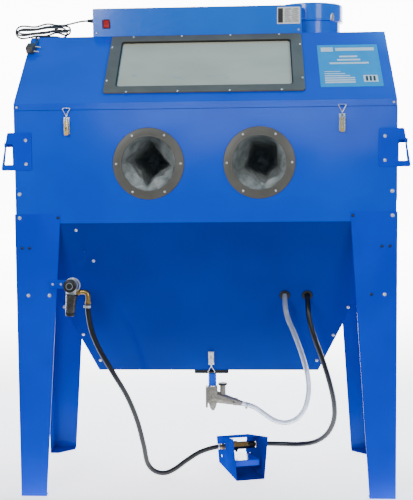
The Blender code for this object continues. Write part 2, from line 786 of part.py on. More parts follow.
def window(assembly):
    outer = rounded(rectangle((-FRAME_HALF, FRAME_HALF), (FRAME_TOP, FRAME_BOTTOM)), 0.004, 2)
    hole = rounded(rectangle((-PANE_HALF, PANE_HALF), (PANE_TOP, PANE_BOTTOM)), 0.012, 4)
    assembly.add("window_frame", slope_ring(outer, hole, GAP, FRAME_THICK), "grey_rubber")
    edge = rectangle((-PANE_HALF - 0.012, PANE_HALF + 0.012), (PANE_TOP - 0.012, PANE_BOTTOM + 0.012))
    pane = extrude("z", edge, -SHEET - GAP - 0.005, -SHEET - GAP)
    assembly.add("window_glass", slope_solid(pane), "glass")


def light_box(assembly):
    """The lamp housing on the roof, open below, with its tube and rocker switch."""
    low = ROOF + GAP
    x, y = (LIGHT_BOX_LEFT, LIGHT_BOX_RIGHT), (LIGHT_BOX_FRONT, LIGHT_BOX_REAR)
    wall = 0.0015
    shell = cut(
        box(x, y, (low, LIGHT_BOX_TOP)),
        box((x[0] + wall, x[1] - wall), (y[0] + wall, y[1] - wall), (low - 0.01, LIGHT_BOX_TOP - wall)),
        box(
            (SWITCH_X - 0.011, SWITCH_X + 0.011),
            (y[0] - 0.01, y[0] + 0.01),
            (SWITCH_Z - 0.015, SWITCH_Z + 0.015),
        ),
    )
    depth = (y[0] + 0.014, y[1] - 0.0014)
    holders = [box((end - 0.004, end + 0.004), depth, (1.5540, 1.5860)) for end in (-0.300, 0.290)]
    assembly.add("light_box", union(shell, *holders), "blue_paint")
    tube_y = (LIGHT_BOX_FRONT + LIGHT_BOX_REAR) / 2
    tube = rod("x", (tube_y, 1.5700), 0.0080, -0.2955, 0.2855, 20)
    assembly.add("light_tube", tube, "lamp_glass", smooth=True)
    rocker_y = y[0] + 0.004
    rocker = extrude("x", [(rocker_y - 0.0075, SWITCH_Z + 0.0125), (rocker_y - 0.0052, SWITCH_Z),
                           (rocker_y - 0.0040, SWITCH_Z - 0.0125), (rocker_y + 0.006, SWITCH_Z - 0.0105),
                           (rocker_y + 0.006, SWITCH_Z + 0.0105)], SWITCH_X - 0.0100, SWITCH_X + 0.0100)
    assembly.add("switch_rocker", rocker, "red_plastic", (SWITCH_X, rocker_y, SWITCH_Z))


def dust_drum(assembly):
    low = ROOF + GAP
    wall = 0.002
    body = [(0.072, low), (DRUM_R, low), (DRUM_R, DRUM_SPLIT)]
    body += [(DRUM_R - wall, DRUM_SPLIT), (DRUM_R - wall, low + wall), (0.072, low + wall)]
    assembly.add("dust_drum", lathe(body, DRUM_CENTRE, count=48), "blue_paint", smooth=True)
    cap_low = DRUM_SPLIT + GAP
    rim = DRUM_R - wall
    cap = [(0.010, CAP_TOP), (0.010, CAP_TOP - wall), (CAP_R - wall, CAP_TOP - wall)]
    cap += [(CAP_R - wall, cap_low + wall), (rim, cap_low + wall), (rim, cap_low)]
    cap += [(CAP_R, cap_low), (CAP_R, CAP_TOP - 0.004), (CAP_R - 0.004, CAP_TOP)]
    assembly.add("drum_cap", lathe(cap, DRUM_CENTRE, count=48), "blue_paint", smooth=True)
    filter_low = low + wall + GAP
    cartridge = [(0.074, filter_low), (0.094, filter_low), (0.094, CAP_TOP - 0.012), (0.074, CAP_TOP - 0.012)]
    assembly.add("filter_cartridge", lathe(cartridge, DRUM_CENTRE, count=32), "paper_filter", smooth=True)


def power_lead(assembly):
    """The lead leaves the lamp housing's left end, lies folded on the roof and runs down to its plug."""
    end = GLAND[0] - GLAND_LENGTH
    gland = tapered(GLAND, (end, *GLAND[1:]), 0.0085, 0.0048)
    assembly.add("cord_gland", gland, "black_plastic")
    lead_in = [
        (end - GAP, 0.3450, 1.5910),
        (-0.4240, 0.3450, 1.5910),
        (-0.4350, 0.3489, 1.5872),
        (-0.4460, 0.3575, 1.5788),
        (-0.4570, 0.3661, 1.5703),
        (-0.4670, 0.3700, 1.5665),
        (HANK_X[1] + GAP, 0.3700, 1.5665),
    ]
    assembly.add_tube("power_cord", lead_in, CORD_R, "black_plastic")
    outline = rounded(rectangle(HANK_X, HANK_Y), (HANK_Y[1] - HANK_Y[0]) / 2 - 0.001, 6)
    assembly.add("power_cord_hank", extrude("z", outline, *HANK_Z), "black_plastic")

    place = slope_frame() @ Matrix.Translation(PLUG_CENTRE) @ Matrix.Rotation(PLUG_TURN, 4, "Z")
    body = extrude("x", rounded(rectangle((-0.016, 0.016), (-0.0135, 0.0135)), 0.006, 3), -0.013, 0.012)
    relief = tapered((0, -0.015, -0.0010), (0, -0.036, -0.0020), 0.0070, 0.0045, 12)
    lean = math.radians(25)
    pins = []
    for side in (-1, 1):
        y, z = side * 0.0092 * math.cos(lean), -side * 0.0092 * math.sin(lean)
        pins.append(rod("x", (y, z), 0.0023, 0.011, 0.031, 10))
    plug_mesh = moved(union(body, relief, *pins), place)
    assembly.add("plug", plug_mesh, "black_plastic")
    tail = [
        (-0.6000, HANK_Y[0] - GAP, 1.5415),
        (-0.6000, 0.3330, 1.5412),
        (-0.5950, 0.3190, 1.5388),
        (-0.5880, 0.3040, 1.5310),
        place @ Vector((0, -0.0510, -0.0027)),
        place @ Vector((0, -0.0360 - GAP, -0.0020)),
    ]
    assembly.add_tube("power_cord_tail", tail, CORD_R, "black_plastic")


# ---------------------------------------------------------------- air line, outlet and pedal


def filter_regulator(assembly):
    """Bracket, zinc body and brass elbow in one piece, with a knob that turns and a tapered bowl."""
    x, z = REGULATOR
    body_y = -0.026
    body = rod("y", (x, z), 0.022, -0.045, -0.0075, 24)
    bracket = box((x - 0.077, x + 0.010), (-0.0085, -0.0055), (z - 0.014, z + 0.014))
    top, low = Vector((x + 0.0035, body_y, z + 0.004)), Vector((x - 0.0075, body_y, z - 0.102))
    seat = top.lerp(low, 0.36)
    elbow_z = z - 0.023
    parts = [
        bracket,
        tapered(top, seat, 0.0185, 0.0185, 20),
        rod("x", (body_y, elbow_z), 0.0085, x + 0.010, HOSE_TOP[0] + 0.0085, 16),
        rod("z", HOSE_TOP[:2], 0.0080, HOSE_TOP[2] + GAP, elbow_z + 0.0080, 16),
    ]
    assembly.add("filter_regulator", union(body, *parts), "zinc", smooth=True)
    bowl = tapered(seat + (low - top) * 0.003, low, 0.0182, 0.0145, 20)
    assembly.add("regulator_bowl", bowl, "black_plastic", smooth=True)
    knob = rod("y", (x, z), 0.021, -0.073, -0.045 - GAP, 24)
    assembly.add("regulator_knob", knob, "black_plastic", (x, -0.059, z), smooth=True)


def blast_gun(assembly):
    """The gun as it lies on the grate: barrel to the left, grip to the rear."""
    y, z = GUN
    barrel = rod("x", (y, z), 0.016, -0.150, -0.050, 20)
    grip = tapered((-0.075, y, z), (-0.052, y + 0.100, z), 0.0135, 0.0115, 16)
    nozzle = tapered((-0.148, y, z), (-0.185, y, z), 0.0110, 0.0080, 16)
    assembly.add("blast_gun", union(barrel, grip, nozzle), "cast_aluminium", smooth=True)


GUN = (0.200, 0.9225)
AIR_OUT_INNER = [  # from the air port up through the grate and round to the grip's end
    (0.334, 0.1413, 0.6737),
    (0.334, 0.1563, 0.6963),
    (0.334, 0.1613, 0.7230),
    (0.334, 0.1640, 0.7800),
    (0.334, 0.1690, 0.8450),
    (0.334, 0.1750, 0.9050),
    (0.330, 0.1920, 0.9600),
    (0.312, 0.2320, 0.9980),
    (0.272, 0.2850, 1.0030),
    (0.215, 0.3350, 0.9750),
    (0.150, 0.3750, 0.9400),
    (0.085, 0.4000, 0.9240),
    (0.020, 0.4010, 0.9200),
    (-0.0300, 0.3740, 0.9210),
    (-0.0480, 0.3350, 0.9222),
    (-0.0513, 0.3033, 0.9225),
]
ABRASIVE_INNER = [  # from the abrasive port up through the grate to the barrel's rear
    (0.260, 0.1413, 0.6737),
    (0.260, 0.1563, 0.6963),
    (0.260, 0.1613, 0.7230),
    (0.263, 0.1640, 0.7800),
    (0.270, 0.1680, 0.8400),
    (0.275, 0.1700, 0.9000),
    (0.267, 0.1710, 0.9450),
    (0.236, 0.1760, 0.9810),
    (0.190, 0.1820, 0.9900),
    (0.142, 0.1890, 0.9730),
    (0.095, 0.1950, 0.9470),
    (0.045, 0.1990, 0.9280),
    (-0.010, 0.2000, 0.9227),
    (-0.050 + GAP, 0.200, 0.9225),
]
AIR_IN_ROUTE = [  # from the regulator's elbow down to the floor and up to the pedal
    HOSE_TOP,
    (-0.3755, -0.0260, 0.6150),
    (-0.3665, -0.0235, 0.5570),
    (-0.3450, -0.0100, 0.4940),
    (-0.3060, 0.0200, 0.4120),
    (-0.2650, 0.0700, 0.3200),
    (-0.2380, 0.1200, 0.2250),
    (-0.2220, 0.1650, 0.1300),
    (-0.2100, 0.2077, 0.0476),
    (-0.1870, 0.2178, 0.0212),
    (-0.1550, 0.2320, 0.0115),
    (-0.1240, 0.2458, 0.0206),
    (-0.0783, 0.2643, 0.0495),
    (-0.0326, 0.2790, 0.0745),
]
AIR_OUT_ROUTE = [  # from the pedal to the hopper's air port
    (0.2620, 0.3420, 0.0880),
    (0.3180, 0.3180, 0.0940),
    (0.3690, 0.2790, 0.1130),
    (0.4070, 0.2330, 0.1520),
    (0.4270, 0.1800, 0.2120),
    (0.4250, 0.1300, 0.2800),
    (0.4070, 0.0850, 0.3620),
    (0.3790, 0.0550, 0.4520),
    (0.3520, 0.0440, 0.5270),
    (0.3370, 0.0480, 0.5840),
    (0.3345, 0.0539, 0.6097),
    (0.3340, 0.0689, 0.6323),
]
ABRASIVE_ROUTE = [  # from the metering valve's nozzle to the hopper's abrasive port
    (0.1620, 0.2440, 0.2420),
    (0.1950, 0.2390, 0.2200),
    (0.2270, 0.2320, 0.2010),
    (0.2650, 0.2220, 0.1950),
    (0.3010, 0.2060, 0.2120),
    (0.3270, 0.1900, 0.2470),
    (0.3410, 0.1650, 0.3080),
    (0.3370, 0.1350, 0.3760),
    (0.3190, 0.1000, 0.4470),
    (0.2920, 0.0680, 0.5250),
    (0.2680, 0.0500, 0.5840),
    (0.2615, 0.0539, 0.6097),
    (0.2600, 0.0689, 0.6323),
]


def pedal_frame():
    return Matrix.Translation((*PEDAL_CENTRE, 0)) @ Matrix.Rotation(PEDAL_TURN, 4, "Z")


def hoses(assembly):
    place = pedal_frame()
    left = [place @ Vector((-VALVE_REACH - out, 0.010, VALVE_Z)) for out in (0.016, GAP)]
    right = [place @ Vector((VALVE_REACH + out, 0.010, VALVE_Z)) for out in (GAP, 0.016)]
    assembly.add_tube("air_hose_in", [*AIR_IN_ROUTE, *left], HOSE_R, "black_rubber")
    for name, start, route, x, inner, finish in (
        ("air_hose_out", right, AIR_OUT_ROUTE, AIR_PORT_X, AIR_OUT_INNER, "black_rubber"),
        ("abrasive_hose", nozzle_mouth(), ABRASIVE_ROUTE, ABRASIVE_PORT_X, ABRASIVE_INNER, "clear_hose"),
    ):
        through = [port_point(x, out) for out in (0.016, 0.0, -0.016)]
        assembly.add_tube(name, [*start, *route, *through, *inner], HOSE_R, finish)
    ring = [(0.0093, -0.005), (0.0120, -0.005), (0.0120, 0.0003), (0.0185, 0.0003), (0.0170, 0.0042),
            (0.0093, 0.0042)]
    for name, x in (("hose_grommet_air", AIR_PORT_X), ("hose_grommet_abrasive", ABRASIVE_PORT_X)):
        out = Vector(port_point(x, 1)) - Vector(port_point(x, 0))
        place = Matrix.Translation(port_point(x, 0)) @ out.to_track_quat("Z", "Y").to_matrix().to_4x4()
        assembly.add(name, moved(lathe(ring, (0, 0), count=20), place), "black_rubber", smooth=True)


def nozzle_mouth():
    """The hose's first two points, straight out of the metering valve's nozzle."""
    tip = Vector(NOZZLE_TIP)
    ahead = (tip - Vector(NOZZLE_ROOT)).normalized()
    return [tip + ahead * out for out in (GAP, 0.020)]


def outlet(assembly):
    """The clean-out door under the hopper: a tray on a rear pin, with outlet tube and metering valve."""
    top = HOPPER_BOTTOM - SHEET - 2 * GAP
    tray = box(TRAY_X, (TRAY_FRONT, 0.345), (TRAY_LOW, top))
    y, z = OUTLET_HINGE
    tube_top, tube_low = TRAY_LOW + 0.001, 0.3167
    keeper = moved(toggle_keeper(), outlet_latch_place())
    tray = union(
        tray,
        box((TRAY_X[0] + 0.010, TRAY_X[1] - 0.010), (0.344, y - 0.001), (z - 0.004, z + 0.001)),
        rod("x", (y, z), 0.0052, TRAY_X[0] + 0.010, TRAY_X[1] - 0.010, 16),
        rod("z", (TUBE_X, TUBE_Y), TUBE_R, tube_low + GAP, tube_top, 24),
        keeper,
    )
    tray = cut(
        tray,
        box((-0.035, 0.058), (0.233, 0.335), (TRAY_LOW + 0.003, top + 0.01)),
        rod("z", (TUBE_X, TUBE_Y), TUBE_R - 0.003, tube_low - 0.01, TRAY_LOW + 0.01, 24),
        rod("x", (y, z), 0.0029, -0.1, 0.1, 16),
    )
    assembly.add("outlet_door", tray, "dark_blue_paint", (TUBE_X, y, z))
    body = box((-0.003, 0.031), (TUBE_Y - 0.019, TUBE_Y + 0.019), (0.262, tube_low))
    parts = [
        box((-0.0085, -0.0029), (TUBE_Y - 0.022, TUBE_Y + 0.022), (0.246, tube_low)),
        tapered(NOZZLE_ROOT, NOZZLE_TIP, 0.0230, 0.0090, 20),
        tapered((TUBE_X + 0.001, TUBE_Y, 0.264), (TUBE_X + 0.001, TUBE_Y, 0.240), 0.0160, 0.0100, 20),
        rod("z", (0.0495, TUBE_Y), 0.0100, 0.275, 0.326, 20),
        rod("z", (0.0495, TUBE_Y), 0.0150, 0.3235, 0.3280, 20),
    ]
    assembly.add("metering_valve", union(body, *parts), "cast_aluminium", (TUBE_X, y, z))


def outlet_lugs():
    """The two ears and the pin under the hopper's floor that carry the clean-out door."""
    y, z = OUTLET_HINGE
    ears = [
        box((x, x + 0.003), (y - 0.0045, y + 0.0045), (z - 0.0045, HOPPER_BOTTOM - SHEET))
        for x in (TRAY_X[0] + 0.004, TRAY_X[1] - 0.007)
    ]
    return [*ears, rod("x", (y, z), 0.0025, TRAY_X[0] + 0.005, TRAY_X[1] - 0.005, 12)]


def pedal(assembly):
    """The foot pedal: a splayed guard with a roof, a brass valve across it and a sprung treadle."""
    place = pedal_frame()
    half, height, splay = PEDAL_HALF_WIDTH, 0.152, 0.013
    t = 0.0015
    front, rear = -PEDAL_HALF_LENGTH, PEDAL_HALF_LENGTH
    section = [(-half, 0), (half, 0), (half + splay, height), (half + splay - t, height), (half - t, t),
               (t - half, t), (t - half - splay, height), (-half - splay, height)]
    roof_front, roof_rear = 0.148, 0.098

    def roof_z(y):
        return roof_front + (roof_rear - roof_front) * (y - front) / (rear - front)

    def half_at(z):
        return half + splay * z / height - t / 2

    above = [(front - 0.01, roof_z(front - 0.01)), (rear + 0.01, roof_z(rear + 0.01)), (rear + 0.01, 0.3),
             (front - 0.01, 0.3)]
    shell = cut(extrude("y", section, front, rear), extrude("x", above, -0.2, 0.2))
    plate_front = -0.030
    rings = []
    for drop in (0.0025, 0.0006):
        ring = []
        for side, y in ((-1, plate_front), (1, plate_front), (1, rear - 0.001), (-1, rear - 0.001)):
            z = roof_z(y) - drop
            ring.append((side * half_at(z), y, z))
        rings.append(ring)
    pivot_y, pivot_z = TREADLE_PIVOT
    pin_end = half_at(pivot_z)
    shell = union(shell, loft(*rings), rod("x", TREADLE_PIVOT, 0.0030, -pin_end, pin_end, 16))
    shell = cut(shell, rod("x", (0.010, VALVE_Z), 0.0115, -0.1, 0.1, 20))
    assembly.add("pedal_housing", moved(shell, place), "blue_paint")

    valve = union(
        rod("x", (0.010, VALVE_Z), 0.0135, -0.028, 0.030, 6),
        rod("x", (0.010, VALVE_Z), 0.0070, -VALVE_REACH, VALVE_REACH, 16),
        rod("z", (-0.014, 0.010), 0.0045, 0.066, VALVE_Z, 12),
    )
    assembly.add("pedal_valve", moved(valve, place), "brass")

    treadle = extrude("x", [(0.070, 0.0460), (-0.0805, 0.0600), (-0.0835, 0.0580), (-0.0835, 0.0390),
                            (-0.0817, 0.0390), (-0.0817, 0.0575), (0.070, 0.0442)], -0.043, 0.043)
    treadle = union(treadle, rod("x", TREADLE_PIVOT, 0.0062, -0.0425, 0.0425, 16))
    treadle = cut(treadle, rod("x", TREADLE_PIVOT, 0.0034, -0.1, 0.1, 16))
    assembly.add("treadle", moved(treadle, place), "blue_paint", place @ Vector((0, pivot_y, pivot_z)))


def build_all():
    clear_scene()
    assembly = Assembly()
    front_panel(assembly)
    side_panels(assembly)
    rear_panel(assembly)
    hopper(assembly)
    legs(assembly)
    work_grate(assembly)
    gloves(assembly)
    door_catches(assembly)
    door_latches(assembly)
    toggles(assembly)
    hood(assembly)
    window(assembly)
    light_box(assembly)
    dust_drum(assembly)
    power_lead(assembly)
    filter_regulator(assembly)
    hoses(assembly)
    outlet(assembly)
    pedal(assembly)
    blast_gun(assembly)


build_all()
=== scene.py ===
"""Looks of a floor-standing suction sandblast cabinet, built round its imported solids.

Lengths are metres and z is up. Places are given as the cabinet's maker would give them: x from the centre line, y
from the front sheet to the rear, z from the floor. The finishes come first, then the surface tools, then one class
for each sub-assembly.
"""

import functools
import json
import logging
import math
from collections.abc import Sequence
from dataclasses import dataclass, field
from enum import Enum

import bmesh
import bpy
import numpy as np
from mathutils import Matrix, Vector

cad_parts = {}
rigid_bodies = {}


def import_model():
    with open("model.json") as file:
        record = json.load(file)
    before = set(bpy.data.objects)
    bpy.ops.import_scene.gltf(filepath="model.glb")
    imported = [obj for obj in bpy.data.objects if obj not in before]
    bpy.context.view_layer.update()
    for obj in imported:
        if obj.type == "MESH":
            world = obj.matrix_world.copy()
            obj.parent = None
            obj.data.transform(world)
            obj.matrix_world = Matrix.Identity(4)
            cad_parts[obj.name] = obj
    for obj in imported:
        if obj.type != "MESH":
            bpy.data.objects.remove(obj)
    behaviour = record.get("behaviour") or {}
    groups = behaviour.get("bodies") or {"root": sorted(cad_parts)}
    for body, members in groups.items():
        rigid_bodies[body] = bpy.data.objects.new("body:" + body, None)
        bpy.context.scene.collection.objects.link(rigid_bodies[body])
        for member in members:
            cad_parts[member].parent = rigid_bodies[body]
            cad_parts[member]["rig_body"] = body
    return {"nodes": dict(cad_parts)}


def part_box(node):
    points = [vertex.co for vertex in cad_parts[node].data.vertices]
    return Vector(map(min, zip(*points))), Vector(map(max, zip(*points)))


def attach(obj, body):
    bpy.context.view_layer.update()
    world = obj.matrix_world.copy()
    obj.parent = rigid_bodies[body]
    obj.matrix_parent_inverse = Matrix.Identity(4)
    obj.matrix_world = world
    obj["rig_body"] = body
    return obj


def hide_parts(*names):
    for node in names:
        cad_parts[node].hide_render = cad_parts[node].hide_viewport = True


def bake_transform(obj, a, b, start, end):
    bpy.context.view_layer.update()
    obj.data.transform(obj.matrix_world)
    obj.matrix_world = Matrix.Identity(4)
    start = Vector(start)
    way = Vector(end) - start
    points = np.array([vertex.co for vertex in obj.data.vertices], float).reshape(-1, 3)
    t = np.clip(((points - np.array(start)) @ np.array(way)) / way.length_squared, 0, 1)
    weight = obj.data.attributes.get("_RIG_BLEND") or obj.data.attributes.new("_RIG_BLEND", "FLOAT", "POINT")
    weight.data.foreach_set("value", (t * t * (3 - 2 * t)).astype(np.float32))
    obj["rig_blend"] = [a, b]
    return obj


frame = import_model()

log = logging.getLogger("sandblast_cabinet")

Array = np.ndarray
Surface = tuple[Array, list[list[int]]]
Pair = tuple[float, float]
Point = tuple[float, float, float]

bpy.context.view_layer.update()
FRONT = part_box("front_panel")[0].y  # the front sheet's outer face
MM = 0.001
TAU = 2 * math.pi


def linear(hex_colour: str, alpha: float = 1.0) -> tuple[float, float, float, float]:
    """Turns an sRGB hex colour into linear values.

    Args:
        hex_colour: six hex digits after a #.
        alpha: the fourth value.

    Returns:
        Red, green, blue and alpha.
    """
    parts = np.array([int(hex_colour[i : i + 2], 16) for i in (1, 3, 5)]) / 255
    red, green, blue = np.where(parts <= 0.04045, parts / 12.92, ((parts + 0.055) / 1.055) ** 2.4)
    return float(red), float(green), float(blue), alpha


def add_node(
    tree: bpy.types.NodeTree,
    kind: str,
    settings: dict[str | int, object] | None = None,
    links: dict[str | int, bpy.types.NodeSocket] | None = None,
) -> bpy.types.Node:
    """Adds one shader node.

    Args:
        tree: the material's node tree.
        kind: the node's type without the ShaderNode prefix.
        settings: values by socket name or number, or by attribute name.
        links: source sockets by input name or number.

    Returns:
        The new node.
    """
    node = tree.nodes.new("ShaderNode" + kind)
    for name, value in (settings or {}).items():
        if not isinstance(name, int) and hasattr(node, name):
            setattr(node, name, value)
    for name, value in (settings or {}).items():
        if isinstance(name, int) or not hasattr(node, name):
            node.inputs[name].default_value = value
    for name, source in (links or {}).items():
        tree.links.new(source, node.inputs[name])
    return node


# ---------------------------------------------------------------- finishes


class Coordinates(Enum):
    """What a finish's pattern is laid out on."""

    OBJECT = "Object"
    ALONG = "UV"


@dataclass(frozen=True)
class Finish:
    """A surface of two mixed tones, a range of roughness, a fine grain and a slow waviness.

    Sizes are in millimetres. `slot` is the record's material slot; it is not used.
    """

    name: str
    slot: str
    tone: str
    second_tone: str
    patch_mm: float = 90.0
    roughness: tuple[float, float] = (0.30, 0.40)
    metallic: float = 0.0
    grain_mm: float = 2.0
    grain_depth_mm: float = 0.02
    stretch: Point = (1.0, 1.0, 1.0)
    wave_mm: float = 0.0
    wave_depth_mm: float = 0.0
    speck_tone: str = ""
    speck_mm: float = 6.0
    speck_edge: float = 0.66
    coat: float = 0.0
    sheen: float = 0.0
    transmission: float = 0.0
    ior: float = 1.5
    specular: float = 0.5
    coordinates: Coordinates = Coordinates.OBJECT

    @functools.cache
    def material(self) -> bpy.types.Material:
        """Builds the material once.

        Returns:
            A material named for the finish.
        """
        made = bpy.data.materials.new(self.name)
        made.use_nodes = True
        tree = made.node_tree
        shader = tree.nodes["Principled BSDF"]
        for socket, value in (
            ("Metallic", self.metallic),
            ("Coat Weight", self.coat),
            ("Coat Roughness", 0.08),
            ("Sheen Weight", self.sheen),
            ("Transmission Weight", self.transmission),
            ("IOR", self.ior),
            ("Specular IOR Level", self.specular),
        ):
            shader.inputs[socket].default_value = value
        where = add_node(tree, "TexCoord").outputs[self.coordinates.value]
        self.colour(tree, shader, where)
        grain = self.noise(tree, where, self.grain_mm, self.stretch, 3.0)
        rough = add_node(
            tree,
            "MapRange",
            {"From Min": 0.3, "From Max": 0.7, "To Min": self.roughness[0], "To Max": self.roughness[1]},
            {"Value": grain},
        )
        tree.links.new(rough.outputs["Result"], shader.inputs["Roughness"])
        bump = add_node(tree, "Bump", {"Distance": self.grain_depth_mm * MM}, {"Height": grain})
        if self.wave_mm:
            slow = self.noise(tree, where, self.wave_mm, (1.0, 1.0, 1.0), 1.0)
            bump = add_node(
                tree, "Bump", {"Distance": self.wave_depth_mm * MM}, {"Height": slow, "Normal": bump.outputs["Normal"]}
            )
        tree.links.new(bump.outputs["Normal"], shader.inputs["Normal"])
        return made

    def noise(
        self, tree: bpy.types.NodeTree, where: bpy.types.NodeSocket, size_mm: float, stretch: Point, detail: float
    ) -> bpy.types.NodeSocket:
        """Adds a noise whose cells are about size_mm wide, drawn out along each axis by the stretch.

        Args:
            tree: the material's node tree.
            where: the coordinates.
            size_mm: the cells' size.
            stretch: how much longer a cell is along x, y and z.
            detail: the noise's detail.

        Returns:
            The noise's value.
        """
        spread = add_node(tree, "Mapping", {"Scale": tuple(1 / s for s in stretch)}, {"Vector": where})
        made = add_node(
            tree, "TexNoise", {"Scale": 1 / (size_mm * MM), "Detail": detail}, {"Vector": spread.outputs["Vector"]}
        )
        return made.outputs["Fac"]

    def colour(
        self, tree: bpy.types.NodeTree, shader: bpy.types.Node, where: bpy.types.NodeSocket
    ) -> None:
        """Mixes the two tones by a slow noise, and the specks over them where a finer noise passes its edge."""
        patch = self.noise(tree, where, self.patch_mm, self.stretch, 2.0)
        share = add_node(tree, "MapRange", {"From Min": 0.35, "From Max": 0.65}, {"Value": patch})
        mixed = add_node(
            tree,
            "Mix",
            {"data_type": "RGBA", 6: linear(self.tone), 7: linear(self.second_tone)},
            {0: share.outputs["Result"]},
        )
        if self.speck_tone:
            specks = self.noise(tree, where, self.speck_mm, self.stretch, 4.0)
            edge = add_node(
                tree, "MapRange", {"From Min": self.speck_edge, "From Max": self.speck_edge + 0.06}, {"Value": specks}
            )
            mixed = add_node(
                tree,
                "Mix",
                {"data_type": "RGBA", 7: linear(self.speck_tone)},
                {0: edge.outputs["Result"], 6: mixed.outputs[2]},
            )
        tree.links.new(mixed.outputs[2], shader.inputs["Base Color"])


# Polyester powder coat on folded steel: a glossy skin with a faint orange peel, over sheet that isn't quite flat.
BODY_PAINT = Finish(
    "blue_powder_coat", "blue_paint", "#0050E2", "#0048D8", 260.0, (0.12, 0.17),
    grain_mm=9.0, grain_depth_mm=0.004, wave_mm=230.0, wave_depth_mm=3.0, specular=0.4,
)
LEG_PAINT = Finish(
    "blue_powder_coat_legs", "blue_paint", "#0044DC", "#003CD0", 200.0, (0.14, 0.19),
    grain_mm=9.0, grain_depth_mm=0.004, wave_mm=150.0, wave_depth_mm=0.6, specular=0.15,
)
# The hopper's darker powder coat, made darker still as painted shade; on the rear legs and door latches this darker
# tone is painted shade alone.
HOPPER_PAINT_AND_SHADE = Finish(
    "deep_blue_coat_and_painted_shade", "dark_blue_paint", "#00329E", "#002C92", 260.0, (0.11, 0.15),
    grain_mm=9.0, grain_depth_mm=0.003, wave_mm=240.0, wave_depth_mm=1.2, specular=0.09,
)
# Lamp housing and drum: the same powder coat, toned paler as painted light, because the studio lights reach it less
# than they should.
LAMP_PAINT_WITH_PAINTED_LIGHT = Finish(
    "blue_powder_coat_painted_light", "blue_paint", "#1C74EC", "#166CE4", 260.0, (0.12, 0.17),
    grain_mm=9.0, grain_depth_mm=0.004, wave_mm=230.0, wave_depth_mm=3.0, specular=0.4,
)
# Pedal: the same powder coat, toned darker as painted shade and without shine so that the glow behind it does not veil
# its walls.
PEDAL_PAINT_WITH_PAINTED_SHADE = Finish(
    "blue_powder_coat_painted_shade", "blue_paint", "#0032A8", "#002A98", 120.0, (0.34, 0.44),
    grain_mm=6.0, grain_depth_mm=0.006, specular=0.0,
)
# Black-oxided steel of the clean-out tray, oily and slightly worn.
TRAY_STEEL = Finish(
    "black_oxide_steel", "dark_blue_paint", "#15171C", "#0E1014", 30.0, (0.38, 0.50), grain_mm=1.5, grain_depth_mm=0.02
)
# Grey EPDM strip, cut and screwed down: soft sheen, faint moulding marks.
TRIM_RUBBER = Finish(
    "grey_rubber_trim", "grey_rubber", "#6E6B62", "#65625A", 60.0, (0.40, 0.50),
    grain_mm=1.6, grain_depth_mm=0.03, speck_tone="#6A675E", speck_mm=12.0, speck_edge=0.68, specular=0.3,
)
RING_RUBBER = Finish(
    "grey_rubber_ring", "grey_rubber", "#65635D", "#5C5A54", 60.0, (0.40, 0.50),
    grain_mm=1.6, grain_depth_mm=0.03, specular=0.4,
)
# Natural rubber sheet, dusted grey by the blasting and toned far paler than its black as painted light in the dark
# port; the pale specks are part dust, part painted highlight on the folds, with a broad sheen on them.
GLOVE_RUBBER = Finish(
    "dusted_black_rubber_painted_light", "black_rubber", "#9CA3A3", "#6C7373", 30.0, (0.28, 0.40),
    grain_mm=3.0, grain_depth_mm=0.20, speck_tone="#A2A8A8", speck_mm=18.0, speck_edge=0.62, sheen=0.10,
)
HOSE_RUBBER = Finish(
    "black_hose_rubber", "black_rubber", "#121415", "#0C0D0E", 30.0, (0.30, 0.40),
    grain_mm=1.0, grain_depth_mm=0.03, speck_tone="#222425", speck_mm=11.0, speck_edge=0.68,
)
MOULDED_RUBBER = Finish(
    "moulded_black_rubber", "black_rubber", "#1E2021", "#161819", 20.0, (0.45, 0.60), grain_mm=0.9, grain_depth_mm=0.03
)
# Soft PVC: clear with a cold tint, clouded by abrasive dust inside.
CLEAR_VINYL = Finish(
    "clear_soft_vinyl", "clear_hose", "#C9CFDD", "#B4BCCD", 26.0, (0.12, 0.20),
    grain_mm=6.0, grain_depth_mm=0.02, speck_tone="#E4E7EE", speck_mm=12.0, transmission=0.55, ior=1.53,
)
# Bright zinc plate on stamped steel.
ZINC = Finish(
    "bright_zinc_plate", "zinc", "#D6D8DA", "#C2C5C8", 9.0, (0.20, 0.34), metallic=1.0,
    grain_mm=0.8, grain_depth_mm=0.01,
)
YELLOW_ZINC = Finish(
    "yellow_zinc_plate", "zinc", "#C9AE72", "#B99B62", 8.0, (0.24, 0.38), metallic=1.0,
    grain_mm=0.8, grain_depth_mm=0.01,
)
SCREW_ZINC = Finish(
    "zinc_screw_heads", "zinc", "#F2F3F2", "#E2E4E4", 5.0, (0.22, 0.34), metallic=0.75,
    grain_mm=0.8, grain_depth_mm=0.01,
)
GRATE_STEEL = Finish(
    "blasted_mild_steel", "zinc", "#8C8C88", "#75756F", 25.0, (0.45, 0.62), metallic=1.0,
    grain_mm=1.2, grain_depth_mm=0.06, speck_tone="#9C9384", speck_mm=10.0,
)
BRASS = Finish(
    "machined_brass", "brass", "#B9985C", "#9C7E48", 8.0, (0.24, 0.40), metallic=1.0, grain_mm=0.7, grain_depth_mm=0.02
)
# Sand-cast aluminium, left as cast: a matt pebbled skin with darker hollows.
CAST_ALUMINIUM = Finish(
    "sand_cast_aluminium", "cast_aluminium", "#A8A49A", "#8B877D", 7.0, (0.42, 0.60), metallic=0.85,
    grain_mm=1.6, grain_depth_mm=0.22, speck_tone="#6E6A61", speck_mm=4.0, speck_edge=0.64,
)
BLACK_NYLON = Finish(
    "moulded_black_nylon", "black_plastic", "#1B1D1D", "#141616", 15.0, (0.32, 0.45), grain_mm=0.8, grain_depth_mm=0.03
)
SMOKED_BOWL = Finish(
    "smoked_polycarbonate", "black_plastic", "#4B4844", "#35332F", 14.0, (0.16, 0.24),
    grain_mm=5.0, grain_depth_mm=0.02, transmission=0.25, ior=1.58,
)
